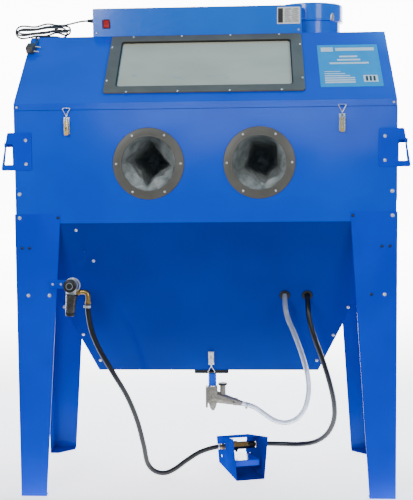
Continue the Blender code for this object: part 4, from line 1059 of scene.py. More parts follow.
@dataclass
class Window:
    """The sloped window with its rubber frame, screws and the printed label beside it."""

    frame_out: float = 0.0066
    screw_x: tuple[float, ...] = (-0.250, -0.0835, 0.0835, 0.250)
    screw_down: tuple[float, float] = (0.017, 0.351)
    side_x: float = 0.3185
    side_down: tuple[float, float] = (0.083, 0.285)
    label_x: tuple[float, float] = (0.375, 0.575)
    label_down: tuple[float, float] = (0.082, 0.331)

    def build(self) -> None:
        """Builds the frame, the glass, twelve screws and the label."""
        (left, top), (right, low) = (-0.3255, 0.010), (0.3255, 0.352)
        outer = rounded_outline((left, top), (right, low), 0.010, 6)
        inner = rounded_outline((-0.288, 0.044), (0.288, 0.318), 0.012, 6)
        strip = Shape().add(framed(outer, inner, 0.0, self.frame_out - 0.0002), SLOPE.place())
        make_piece("window_rubber_frame", strip, TRIM_RUBBER, "hood", ["window_frame"], edge_mm=1.8, sharp=50)
        lip_outer = rounded_outline((-0.2885, 0.0435), (0.2885, 0.3185), 0.0125, 6)
        lip_inner = rounded_outline((-0.2845, 0.0475), (0.2845, 0.3145), 0.0100, 6)
        lip = Shape().add(framed(lip_outer, lip_inner, -0.0015, 0.0040), SLOPE.place())
        make_piece("window_seal_lip", lip, MOULDED_RUBBER, "hood", edge_mm=0.5, sharp=50)
        softened("window_glass", WINDOW_GLASS, 0.0)
        places = [SLOPE.place(x, d, self.frame_out) for x in self.screw_x for d in self.screw_down]
        places += [SLOPE.place(s * self.side_x, d, self.frame_out) for s in (-1, 1) for d in self.side_down]
        SMALL_SCREW.fit("window_screws", places, body="hood")
        self.label()

    def label(self) -> None:
        """The label: a sheet with plain bars where a maker would print, and one tile of three strokes."""
        (x0, x1), (d0, d1) = self.label_x, self.label_down
        sheet = Shape().add(
            prism(rounded_outline((x0, d0), (x1, d1), 0.004), 0.0, 0.0005), SLOPE.place()
        )
        make_piece("window_label", sheet, LABEL_BLUE, "hood")
        marks = Shape()
        width = x1 - x0
        bars = [
            (0.06, 0.26, 0.060, 0.165), (0.30, 0.94, 0.075, 0.150), (0.35, 0.65, 0.270, 0.310),
            (0.31, 0.69, 0.350, 0.390), (0.18, 0.82, 0.430, 0.470), (0.70, 0.93, 0.740, 0.900),
        ]
        lines = [(0.08, 0.34 + 0.075 * min(k, 3), 0.640 + 0.048 * k, 0.655 + 0.052 * k) for k in range(6)]
        for left, right, top, low in [*bars, *lines]:
            marks.add(
                block(
                    (x0 + left * width, x0 + right * width),
                    (d0 + top * (d1 - d0), d0 + low * (d1 - d0)),
                    (0.0004, 0.0007),
                    0.0008,
                ),
                SLOPE.place(),
            )
        make_piece("window_label_print", marks, LABEL_WHITE, "hood")
        tile = Shape()
        for k in range(3):
            left = x0 + (0.735 + 0.06 * k) * width
            tile.add(
                block((left, left + 0.007), (d0 + 0.765 * (d1 - d0), d0 + 0.875 * (d1 - d0)), (0.0006, 0.0009)),
                SLOPE.place(),
            )
        make_piece("window_label_tile", tile, PLATE_BLACK, "hood")


@dataclass
class LampHousing:
    """The lamp housing on the roof with its rocker switch and rating plate."""

    face_y: float = 0.318
    plate_x: tuple[float, float] = (0.244, 0.323)
    plate_z: tuple[float, float] = (1.565, 1.622)
    bezel_x: tuple[float, float] = (-0.360, -0.333)
    bezel_z: tuple[float, float] = (1.560, 1.591)

    def build(self) -> None:
        """Builds the bezel, the rocker, the tube, the rating plate and the end screws."""
        softened("switch_rocker", RED_ROCKER, 0.8)
        softened("light_tube", LAMP_GLASS, 0.0)
        softened("cord_gland", MOULDED_RUBBER, 0.5)
        place = Place((0, self.face_y, 0), (1, 0, 0), (0, 0, 1), (0, -1, 0))
        (x0, x1), (z0, z1) = self.bezel_x, self.bezel_z
        outer = rounded_outline((x0, z0), (x1, z1), 0.003)
        inner = rounded_outline((x0 + 0.0017, z0 + 0.0013), (x1 - 0.0017, z1 - 0.0013), 0.0015)
        bezel = Shape().add(framed(outer, inner, 0.0, 0.0028, 0.0016), place)
        make_piece("switch_bezel", bezel, RED_BEZEL, "hood")
        self.plate(place)
        ends = [Place((x, self.face_y, z), place.x, place.y, place.z) for x in (-0.382, 0.317) for z in (1.545,)]
        SMALL_SCREW.fit("lamp_housing_screws", ends, body="hood")

    def plate(self, place: Place) -> None:
        """The rating plate: a white sheet with a dark column and ruled rows."""
        (x0, x1), (z0, z1) = self.plate_x, self.plate_z
        sheet = Shape().add(prism(rounded_outline((x0, z0), (x1, z1), 0.002), 0.0, 0.0006), place)
        make_piece("rating_plate", sheet, PLATE_WHITE, "hood")
        print_ = Shape().add(block((x0 + 0.003, x0 + 0.020), (z0 + 0.004, z1 - 0.004), (0.0005, 0.0009)), place)
        for k in range(7):
            z = z0 + 0.006 + k * 0.0068
            print_.add(block((x0 + 0.024, x1 - 0.003), (z, z + 0.0008), (0.0005, 0.0009)), place)
            row = (z + 0.0026, z + 0.0042)
            print_.add(block((x0 + 0.026, x0 + 0.048 - 0.004 * (k % 3)), row, (0.0005, 0.0009)), place)
            print_.add(block((x0 + 0.054, x1 - 0.006 - 0.003 * (k % 2)), row, (0.0005, 0.0009)), place)
        print_.add(block((x0 + 0.051, x0 + 0.0518), (z0 + 0.006, z1 - 0.009), (0.0005, 0.0009)), place)
        make_piece("rating_plate_print", print_, PLATE_BLACK, "hood")


@dataclass
class DustDrum:
    """The fan drum on the roof: rolled seams round it and spring clips."""

    x: float = 0.363
    y: float = 0.482
    radius: float = 0.110
    cap_radius: float = 0.119
    split: float = 1.582
    top: float = 1.643
    clips: tuple[float, ...] = (-0.9, 1.2, 3.3)

    def build(self) -> None:
        """Builds the seams, the clips and the filter."""
        softened("filter_cartridge", FILTER_PAPER, 0.0)
        place = Place((self.x, self.y, 0))
        seams = Shape()
        for radius, height, size in (
            (self.cap_radius - 0.0004, self.split + 0.0045, 0.0016), (self.radius - 0.0002, 1.5365, 0.0018),
        ):
            ring = np.arange(13) * TAU / 13
            loop = np.column_stack([radius + size * np.cos(ring), height + size * np.sin(ring)])
            seams.add(turned(loop.tolist(), 96, loop=True), place)
        make_piece("drum_seams", seams, LAMP_PAINT_WITH_PAINTED_LIGHT, "hood", sharp=60)
        clips = Shape()
        for angle in self.clips:
            out = (math.cos(angle), math.sin(angle), 0.0)
            side = (-math.sin(angle), math.cos(angle), 0.0)
            reach = self.cap_radius
            origin = (self.x + out[0] * reach, self.y + out[1] * reach, 1.594)
            spot = Place(origin, side, (0, 0, 1), out)
            clips.add(block((-0.0075, 0.0075), (-0.012, 0.010), (-0.0010, 0.0022), 0.002), spot)
            clips.add(block((-0.0050, 0.0050), (-0.006, 0.014), (0.0018, 0.0040), 0.002), spot)
        make_piece("drum_clips", clips, SCREW_ZINC, "hood", edge_mm=0.5)


@dataclass
class MainsLead:
    """The mains lead: out of the gland, folded in a hank on the roof, tied, and down over the slope to its plug."""

    radius: float = 0.0033
    centre_y: float = 0.370
    end_x: tuple[float, float] = (-0.6765, -0.4775)
    end_radius: float = 0.0225
    turns: int = 3
    high: float = 1.5690
    low: float = 1.5590
    tie_x: float = -0.530
    waist_x: float = -0.605
    plug_turn: float = math.radians(15)
    plug_centre: Point = (-0.5955, 0.0915, 0.0138)

    def plug_point(self, x: float, y: float, z: float) -> Point:
        """A point in the plug's own axes: turned about own z, then laid on the slope."""
        c, s = math.cos(self.plug_turn), math.sin(self.plug_turn)
        across, down, out = self.plug_centre
        flat = SLOPE.place().put([(across + c * x - s * y, down + s * x + c * y, out + z)])[0]
        return float(flat[0]), float(flat[1] - FRONT), float(flat[2])

    def hank(self, spacing: float = 0.004) -> Array:
        """The folded part: three rounds of a long loop with half-circle ends, each round turned 50 degrees on.

        The distance gone gives a place on the loop: x along it and a width w across. Each round is 5% shorter than
        the last. At the tie and the waist the width is pinched, so the strands meet there as a bundle. The loop
        stands at y = middle + w cos(turn) and z = m(x) + w sin(turn), where m(x) rises to the tie.
        """
        radius = self.end_radius
        left, right = self.end_x[0] + radius, self.end_x[1] - radius
        straight, bend = right - left, math.pi * radius
        per_round = 2 * (straight + bend)
        s = np.arange(right - self.tie_x, self.turns * per_round - bend, spacing)
        t, done = s % per_round, np.floor(s / per_round)
        near = straight + bend
        a_left, a_right = (t - straight) / radius, (t - near - straight) / radius
        x = np.select(
            [t < straight, t < near, t < near + straight],
            [right - t, left - radius * np.sin(a_left), left + (t - near)],
            right + radius * np.sin(a_right),
        )
        w = np.select(
            [t < straight, t < near, t < near + straight],
            [np.full_like(t, radius), radius * np.cos(a_left), np.full_like(t, -radius)],
            -radius * np.cos(a_right),
        )
        step = np.clip(a_right / math.pi, 0, 1)
        rounds = done + step * step * (3 - 2 * step)
        middle = (left + right) / 2
        x = middle + (x - middle) * (1 - 0.05 * rounds)
        pinch = 0.45 * np.exp(-(((x - self.tie_x) / 0.022) ** 2)) + 0.30 * np.exp(-(((x - self.waist_x) / 0.028) ** 2))
        w = w * (1 - pinch)
        turn = math.pi / 2 - rounds * math.radians(50)
        rise = self.low + (self.high - self.low) * np.exp(-(((x - self.tie_x) / 0.060) ** 2))
        loops = np.column_stack([x, self.centre_y + w * np.cos(turn), rise + w * np.sin(turn)])
        return loops

    def route(self) -> Array:
        """The whole lead from the gland to the plug, read at even steps."""
        lead_in = [
            (-0.4166, 0.3450, 1.5910), (-0.4270, 0.3450, 1.5910), (-0.4440, 0.3480, 1.5895), (-0.4640, 0.3560, 1.5865),
            (-0.4840, 0.3640, 1.5835), (-0.5040, 0.3690, 1.5805),
        ]
        hank = self.hank()
        a = np.linspace(0, math.pi, 7)[1:]
        fold = hank[-1] + np.column_stack([0.0205 * np.sin(a), 0.009 * (1 - np.cos(a)), -0.01775 * (1 - np.cos(a))])
        tail = [
            (-0.5300, 0.3660, 1.5410), (-0.5600, 0.3580, 1.5400), (-0.5800, 0.3510, 1.5400), (-0.5940, 0.3400, 1.5400),
            (-0.6000, 0.3260, 1.5396), (-0.5965, 0.3130, 1.5370), (-0.5880, 0.3020, 1.5302),
            self.plug_point(0, -0.0530, -0.0027), self.plug_point(0, -0.0363, -0.0020),
        ]
        whole = smooth_line(np.concatenate([lead_in, hank[::3], fold, tail]), 0.002)
        return even_line(eased(whole, 4.0), 0.004)

    def build(self) -> None:
        line = self.route()
        lead = Shape().add(swept(line, self.radius, 12))
        piece = make_piece(
            "mains_lead", lead, LEAD_SHEATH, "hood", ["power_cord", "power_cord_hank", "power_cord_tail"], sharp=60
        )
        near = self.tied()
        plug = self.plug()

    def tied(self) -> bpy.types.Object:
        """Three wraps of thin cord round the tied bundle: a rounded square carried along x."""
        a = np.linspace(0, 3 * TAU, 160)
        half = 0.0128
        w = half * np.sign(np.cos(a)) * np.abs(np.cos(a)) ** 0.8
        h = half * np.sign(np.sin(a)) * np.abs(np.sin(a)) ** 0.8
        line = np.column_stack([self.tie_x - 0.006 + 0.0040 * a / TAU, self.centre_y + w, self.high + h])
        return make_piece("mains_lead_tie", Shape().add(swept(line, 0.0015, 8)), LEAD_SHEATH, "hood", sharp=60)

    def plug(self) -> bpy.types.Object:
        """The plug again from its solid with rounded edges, and its bright pins."""
        lean = math.radians(25)
        pins = Shape()
        for side in (-1, 1):
            y, z = side * 0.0092 * math.cos(lean), -side * 0.0092 * math.sin(lean)
            line = np.array([self.plug_point(x, y, z) for x in (0.0125, 0.0200, 0.0305, 0.0318)])
            pins.add(swept(line, np.array([0.00255, 0.00255, 0.00255, 0.0016]), 16))
        make_piece("plug_pins", pins, SCREW_ZINC, "hood")
        return softened("plug", PLUG_VINYL, 0.9)


@dataclass
class Regulator:
    """The filter regulator on the left leg: ribbed knob, body, bracket, bowl, elbow."""

    x: float = -0.428
    z: float = 0.705
    hose: Point = (-0.3755, -0.026, 0.640)

    def knob(self) -> None:
        """The knob: radius 21 mm less 1.1 mm |sin 12 a| grooves, fading at both faces."""
        steps = 240
        angle = (np.arange(steps) * TAU / steps)[None, :]
        rows = np.array([
            (0.0, 0.0), (0.0060, 0.0), (0.0170, 0.0), (0.0196, 0.0006), (0.0209, 0.0022), (0.0209, 0.0040),
            (0.0209, 0.0185), (0.0209, 0.0215), (0.0196, 0.0232), (0.0196, 0.0270), (0.0, 0.0270),
        ])
        groove = np.array([0, 0, 0, 0.1, 0.5, 1, 1, 0.5, 0, 0, 0])[:, None]
        radius = rows[:, :1] - 0.0013 * groove * np.abs(np.sin(12 * angle)) ** 0.7
        points = np.stack(
            [radius * np.cos(angle), radius * np.sin(angle), np.broadcast_to(0.0729 - rows[:, 1:], radius.shape)], -1
        )
        place = Place((self.x, 0, self.z), (1, 0, 0), (0, 0, 1), (0, -1, 0))
        shape = Shape().add((points.reshape(-1, 3), grid(len(rows), steps)), place)
        make_piece("regulator_ribbed_knob", shape, BLACK_NYLON, "regulator_knob", ["regulator_knob"], sharp=50)

    def build(self) -> None:
        """Builds every part of the regulator."""
        self.knob()
        x, z = self.x, self.z
        face = Place((x, 0, z), (1, 0, 0), (0, 0, 1), (0, -1, 0))
        ring_side = [(0, 0.036), (0.0215, 0.036), (0.0220, 0.0366), (0.0220, 0.0440), (0.0212, 0.0447), (0, 0.0447)]
        ring = turned(ring_side, 48)
        collar = turned([(0, 0.0330), (0.0195, 0.0330), (0.0195, 0.0365), (0, 0.0365)], 48)
        make_piece("regulator_ring", Shape().add(ring, face).add(collar, face), SCREW_ZINC, sharp=40)
        body_side = [(0, 0.0090), (0.0215, 0.0090), (0.0220, 0.0100), (0.0220, 0.0330), (0, 0.0330)]
        body = Shape().add(turned(body_side, 48), face)
        top = (x + 0.0035, -0.026, z + 0.004)
        low = (x - 0.0075, -0.026, z - 0.102)
        spine = along(top, low)
        arc = Place((x + 0.0045, 0, z - 0.001), (1, 0, 0), (0, 0, 1), (0, -1, 0))
        band = [(0.0215, 0.0300), (0.0255, 0.0300), (0.0258, 0.0325), (0.0250, 0.0350), (0.0215, 0.0350)]
        make_piece("regulator_panel_ring", Shape().add(turned(band, 48, loop=True), arc), SCREW_ZINC, sharp=50)
        rim = [(0.0085, 0.0726), (0.0092, 0.0735), (0.0112, 0.0735), (0.0119, 0.0726)]
        make_piece("regulator_knob_inlay", Shape().add(turned(rim, 40, loop=True), face), ZINC, "regulator_knob")
        body.add(turned([(0, 0.0), (0.0185, 0.0), (0.0185, 0.0330), (0.0178, 0.0345), (0, 0.0345)], 40), spine)
        make_piece("regulator_body", body, ZINC, stands_for=["filter_regulator"], sharp=40)
        plate = Shape().add(
            prism(rounded_outline((x - 0.077, z - 0.014), (x + 0.010, z + 0.014), 0.004), 0.0055, 0.0085),
            Place((0, 0, 0), (1, 0, 0), (0, 0, 1), (0, -1, 0)),
        )
        make_piece("regulator_bracket", plate, LEG_PAINT, edge_mm=0.5)
        bolts = [on_front(x - 0.065, z, 0.0085), on_front(x - 0.038, z, 0.0085)]
        SMALL_SCREW.fit("regulator_bracket_screws", bolts)
        length = math.dist(top, low)
        bowl = [
            (0, 0.0352), (0.0176, 0.0352), (0.0182, 0.0375), (0.0182, 0.046), (0.0176, 0.0480), (0.0174, 0.0520),
            (0.0156, length - 0.014), (0.0150, length - 0.0125), (0, length - 0.0125),
        ]
        glass = Shape().add(turned(bowl, 48), spine)
        make_piece("regulator_bowl_glass", glass, SMOKED_BOWL, stands_for=["regulator_bowl"])
        nut = [(0, 0.0338), (0.0188, 0.0338), (0.0192, 0.0345), (0.0192, 0.0385), (0.0186, 0.0392), (0, 0.0392)]
        cap = [
            (0, length - 0.0130), (0.0153, length - 0.0130), (0.0157, length - 0.0110), (0.0150, length - 0.0030),
            (0.0125, length - 0.0004), (0.0045, length), (0, length),
        ]
        rings = Shape().add(turned(nut, 48), spine).add(turned(cap, 48), spine)
        make_piece("regulator_bowl_caps", rings, BLACK_NYLON, sharp=40)
        hx, hy, hz = self.hose
        bend = [(x + 0.012, hy, z - 0.023), (x + 0.030, hy, z - 0.023), (hx - 0.012, hy, z - 0.023)]
        bend += [(hx - 0.0035, hy, z - 0.0265), (hx, hy, z - 0.035), (hx, hy, hz + 0.006)]
        elbow = Shape().add(swept(smooth_line(bend, 0.0015), 0.0078, 24))
        hexagon = turned([(0, 0), (0.0105, 0), (0.0112, 0.0012), (0.0112, 0.0080), (0.0105, 0.0092), (0, 0.0092)], 6)
        elbow.add(hexagon, Place((x + 0.0180, hy, z - 0.023), (0, 1, 0), (0, 0, 1), (1, 0, 0)))
        foot = [(0, 0), (0.0094, 0), (0.0098, 0.002), (0.0098, 0.008), (0, 0.008)]
        elbow.add(turned(foot, 32), Place((hx, hy, hz + 0.002)))
        make_piece("regulator_elbow", elbow, BRASS, sharp=40)
        small = Fastener(Head.HEXAGON, 0.0042, 0.0036)
        small.fit("regulator_drain_bolt", [on_front(x - 0.030, z - 0.075, 0.003)], SCREW_ZINC)


@dataclass
class Hose:
    """A hose along a route, with clamps at given distances from its start."""

    name: str
    node: str
    route: list[Point]
    finish: Finish
    clamps: tuple[float, ...] = ()
    radius: float = 0.0085
    bends: tuple[str, str, Point, Point] | None = None
    ends: tuple[str, ...] = ()

    def build(self) -> None:
        """Builds the hose, its clamps and, where it crosses a joint, its bend between two bodies."""
        line = smooth_line(self.route, 0.006)
        total = line_length(line)
        surface = swept(line, self.radius, 20)
        shape = Shape().add(surface)
        piece = make_piece(self.name, shape, self.finish, stands_for=[self.node], sharp=60)
        clamps = self.clamp_rings(line, total)
        if self.bends:
            first, second, start, end = self.bends
            piece.parent = None
            del piece["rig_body"]
            places = [tuple(BODY.put([p])[0]) for p in (start, end)]
            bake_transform(piece, first, second, places[0], places[1])

    def clamp_rings(self, line: Array, total: float) -> list[bpy.types.Object]:
        """A band with a screw lug round the hose at each clamp's distance."""
        made = []
        at = np.concatenate([[0.0], np.cumsum(np.linalg.norm(np.diff(line, axis=0), axis=1))])
        for number, distance in enumerate(self.clamps):
            where = distance if distance >= 0 else total + distance
            i = int(np.clip(np.searchsorted(at, where), 1, len(line) - 2))
            spot = along(tuple(line[i]), tuple(line[i + 1]))
            r = self.radius
            band = [(r - 0.0008, -0.004), (r + 0.0009, -0.004), (r + 0.0009, 0.004), (r - 0.0008, 0.004)]
            shape = Shape().add(turned(band, 32, loop=True), spot)
            shape.add(block((r - 0.001, r + 0.0065), (-0.0045, 0.0045), (-0.0040, 0.0040), 0.001), spot)
            body = "outlet_door" if self.bends and number == 0 else "cabinet"
            made.append(make_piece(f"{self.name}_clamp_{number + 1}", shape, SCREW_ZINC, body, edge_mm=0.3))
        return made


@dataclass
class HoseRun:
    """The three hoses and their grommets."""

    pedal_centre: tuple[float, float] = (0.111, 0.310)
    pedal_turn: float = math.radians(16)
    hopper_lean: float = 0.220 / 0.519

    def on_pedal(self, x: float, y: float, z: float) -> Point:
        """A point in the pedal's own axes, turned about z."""
        c, s = math.cos(self.pedal_turn), math.sin(self.pedal_turn)
        return self.pedal_centre[0] + c * x - s * y, self.pedal_centre[1] + s * x + c * y, z

    def at_port(self, x: float, out: float) -> Point:
        """A point on a port's axis, out of the hopper's front sheet."""
        front = (0.901 - 0.653) * self.hopper_lean
        return x, front - out * 0.9207, 0.653 - out * 0.3903

    def build(self) -> None:
        """Builds the hoses in, out and for abrasive."""
        pedal = self.on_pedal
        Hose(
            "air_supply_hose", "air_hose_in",
            [(-0.3755, -0.026, 0.640), (-0.3755, -0.0260, 0.6150), (-0.3665, -0.0235, 0.5570),
             (-0.3450, -0.0100, 0.4940), (-0.3060, 0.0200, 0.4120), (-0.2650, 0.0700, 0.3200),
             (-0.2380, 0.1200, 0.2250), (-0.2220, 0.1650, 0.1300), (-0.2100, 0.2077, 0.0476),
             (-0.1870, 0.2178, 0.0212), (-0.1550, 0.2320, 0.0115), (-0.1240, 0.2458, 0.0206),
             (-0.0783, 0.2643, 0.0495), (-0.0326, 0.2790, 0.0745), pedal(-0.089, 0.010, 0.088),
             pedal(-0.0733, 0.010, 0.088)],
            HOSE_RUBBER, (0.006, -0.008),
        ).build()
        Hose(
            "gun_air_hose", "air_hose_out",
            [pedal(0.0733, 0.010, 0.088), pedal(0.089, 0.010, 0.088), (0.2620, 0.3420, 0.0880),
             (0.3180, 0.3180, 0.0940), (0.3690, 0.2790, 0.1130), (0.4070, 0.2330, 0.1520), (0.4270, 0.1800, 0.2120),
             (0.4250, 0.1300, 0.2800), (0.4070, 0.0850, 0.3620), (0.3790, 0.0550, 0.4520), (0.3520, 0.0440, 0.5270),
             (0.3370, 0.0480, 0.5840), (0.3345, 0.0539, 0.6097), (0.3340, 0.0689, 0.6323), self.at_port(0.334, 0.016),
             self.at_port(0.334, 0.0), self.at_port(0.334, -0.016), (0.334, 0.1413, 0.6737), (0.334, 0.1563, 0.6963),
             (0.334, 0.1613, 0.7230), (0.334, 0.1640, 0.7800), (0.334, 0.1690, 0.8450), (0.334, 0.1750, 0.9050),
             (0.330, 0.1920, 0.9600), (0.312, 0.2320, 0.9980), (0.272, 0.2850, 1.0030), (0.215, 0.3350, 0.9750),
             (0.150, 0.3750, 0.9400), (0.085, 0.4000, 0.9240), (0.020, 0.4010, 0.9200), (-0.030, 0.3740, 0.9210),
             (-0.048, 0.3350, 0.9222), (-0.0513, 0.3033, 0.9225)],
            HOSE_RUBBER, (0.010,),
        ).build()
        tip, root = np.array((0.116, 0.245, 0.257)), np.array((0.0135, 0.245, 0.283))
        ahead = (tip - root) / np.linalg.norm(tip - root)
        Hose(
            "abrasive_supply_hose", "abrasive_hose",
            [tuple(tip + ahead * 0.0003), tuple(tip + ahead * 0.020), (0.1620, 0.2440, 0.2420),
             (0.1950, 0.2390, 0.2200), (0.2270, 0.2320, 0.2010), (0.2650, 0.2220, 0.1950), (0.3010, 0.2060, 0.2120),
             (0.3270, 0.1900, 0.2470), (0.3410, 0.1650, 0.3080), (0.3370, 0.1350, 0.3760), (0.3190, 0.1000, 0.4470),
             (0.2920, 0.0680, 0.5250), (0.2680, 0.0500, 0.5840), (0.2615, 0.0539, 0.6097), (0.2600, 0.0689, 0.6323),
             self.at_port(0.260, 0.016), self.at_port(0.260, 0.0), self.at_port(0.260, -0.016),
             (0.260, 0.1413, 0.6737), (0.260, 0.1563, 0.6963), (0.260, 0.1613, 0.7230), (0.263, 0.1640, 0.7800),
             (0.270, 0.1680, 0.8400), (0.275, 0.1700, 0.9000), (0.267, 0.1710, 0.9450), (0.236, 0.1760, 0.9810),
             (0.190, 0.1820, 0.9900), (0.142, 0.1890, 0.9730), (0.095, 0.1950, 0.9470), (0.045, 0.1990, 0.9280),
             (-0.010, 0.2000, 0.9227), (-0.0497, 0.200, 0.9225)],
            CLEAR_VINYL, (0.012,),
            bends=("cabinet", "outlet_door", (0.330, 0.200, 0.45), (0.150, 0.200, 0.245)),
        ).build()
        for name in ("hose_grommet_air", "hose_grommet_abrasive"):
            softened(name, MOULDED_RUBBER, 0.8)


@dataclass
class Outlet:
    """The clean-out tray's details and the metering valve's."""

    tube_x: float = 0.0135
    tube_y: float = 0.245

    def build(self) -> None:
        """Builds the valve's collar, rim, plate, screw and drain nub."""
        softened("metering_valve", CAST_ALUMINIUM, 0.9)
        softened("outlet_door", TRAY_STEEL, 0.7)
        tube = [(0.0134, 0.3175), (0.0141, 0.3175), (0.0141, 0.3668), (0.0134, 0.3668)]
        sleeve = Shape().add(turned(tube, 40, loop=True), Place((self.tube_x, self.tube_y, 0)))
        make_piece("outlet_tube", sleeve, BODY_PAINT, "outlet_door", sharp=50)
        place = Place((self.tube_x, self.tube_y, 0))
        collar = Shape().add(
            turned(
                [
                    (0.0136, 0.3120), (0.0170, 0.3120), (0.0178, 0.3130), (0.0178, 0.3210), (0.0170, 0.3222),
                    (0.0136, 0.3222),
                ],
                40,
                loop=True,
            ),
            place,
        )
        make_piece("valve_collar", collar, ZINC, "outlet_door", sharp=40)
        stub = Place((0.0495, self.tube_y, 0))
        rim_side = [(0, 0.3225), (0.0150, 0.3225), (0.0158, 0.3235), (0.0158, 0.3278), (0.0148, 0.3290), (0, 0.3290)]
        rim = turned(rim_side, 40)
        make_piece("valve_stub_rim", Shape().add(rim, stub), MOULDED_RUBBER, "outlet_door")
        tip, root = (0.116, self.tube_y, 0.257), (self.tube_x, self.tube_y, 0.283)
        cone = along(root, tip)
        band = turned([(0, 0.078), (0.0134, 0.078), (0.0140, 0.080), (0.0128, 0.0885), (0, 0.0885)], 40)
        make_piece("valve_cone_band", Shape().add(band, cone), CAST_ALUMINIUM, "outlet_door")
        screw = Place((0.088, self.tube_y - 0.0148, 0.2645), (1, 0, 0), (0, 0, 1), (0, -1, 0))
        Fastener(Head.DOME, 0.0030, 0.0022).fit("valve_screw", [screw], BLACK_NYLON, "outlet_door")
        nub = Place((self.tube_x + 0.001, self.tube_y, 0))
        ball = [(0, 0.2315), (0.0035, 0.2320), (0.0062, 0.2345), (0.0070, 0.2375), (0.0066, 0.2410), (0, 0.2410)]
        make_piece("valve_drain_nub", Shape().add(turned(ball, 24), nub), CAST_ALUMINIUM, "outlet_door")
        plate = block((-0.0095, -0.0080), (self.tube_y - 0.0200, self.tube_y + 0.0200), (0.248, 0.3150))
        make_piece("valve_plate_gasket", Shape().add(plate), MOULDED_RUBBER, "outlet_door", edge_mm=0.3)


@dataclass
class Pedal:
    """The foot pedal's brass valve, its hexagons and the guard's bolts."""

    run: HoseRun = field(default_factory=HoseRun)

    def build(self) -> None:
        """Builds the hexagons on the valve, its dark fittings and the treadle's pin heads."""
        softened("pedal_valve", BRASS, 0.5)
        softened("pedal_housing", PEDAL_PAINT_WITH_PAINTED_SHADE, 0.7)
        turn = self.run.pedal_turn
        shape = Shape()
        across = (math.cos(turn), math.sin(turn), 0.0)
        back = (-math.sin(turn), math.cos(turn), 0.0)
        for low, high, size in (
            (-0.070, -0.058, 0.0113), (0.058, 0.070, 0.0113), (-0.031, -0.010, 0.0172), (-0.001, 0.020, 0.0140),
        ):
            origin = self.run.on_pedal(low, 0.010, 0.088)
            length = high - low
            inner = size - 0.001
            hexagon = [(0, 0), (inner, 0), (size, 0.001), (size, length - 0.001), (inner, length), (0, length)]
            shape.add(turned(hexagon, 6), Place(origin, back, (0, 0, 1), across))
        dark = Shape()
        for low, high, size in ((-0.056, -0.036, 0.0120), (0.026, 0.052, 0.0125)):
            length = high - low
            ring = [(0, 0), (size, 0), (size, length), (0, length)]
            dark.add(turned(ring, 28), Place(self.run.on_pedal(low, 0.010, 0.088), back, (0, 0, 1), across))
        make_piece("pedal_valve_fittings", dark, BLACK_NYLON, edge_mm=0.8)
        make_piece("pedal_valve_nuts", shape, BRASS)
        pin = Shape()
        for side in (-1, 1):
            origin = self.run.on_pedal(side * 0.0505, 0.062, 0.040)
            facing = tuple(side * np.array(across))
            head = [(0, 0), (0.0050, 0), (0.0056, 0.001), (0.0050, 0.0042), (0, 0.0048)]
            pin.add(turned(head, 20), Place(origin, (0, 0, 1), tuple(np.cross(facing, (0, 0, 1))), facing))
        make_piece("treadle_pin_heads", pin, ZINC)


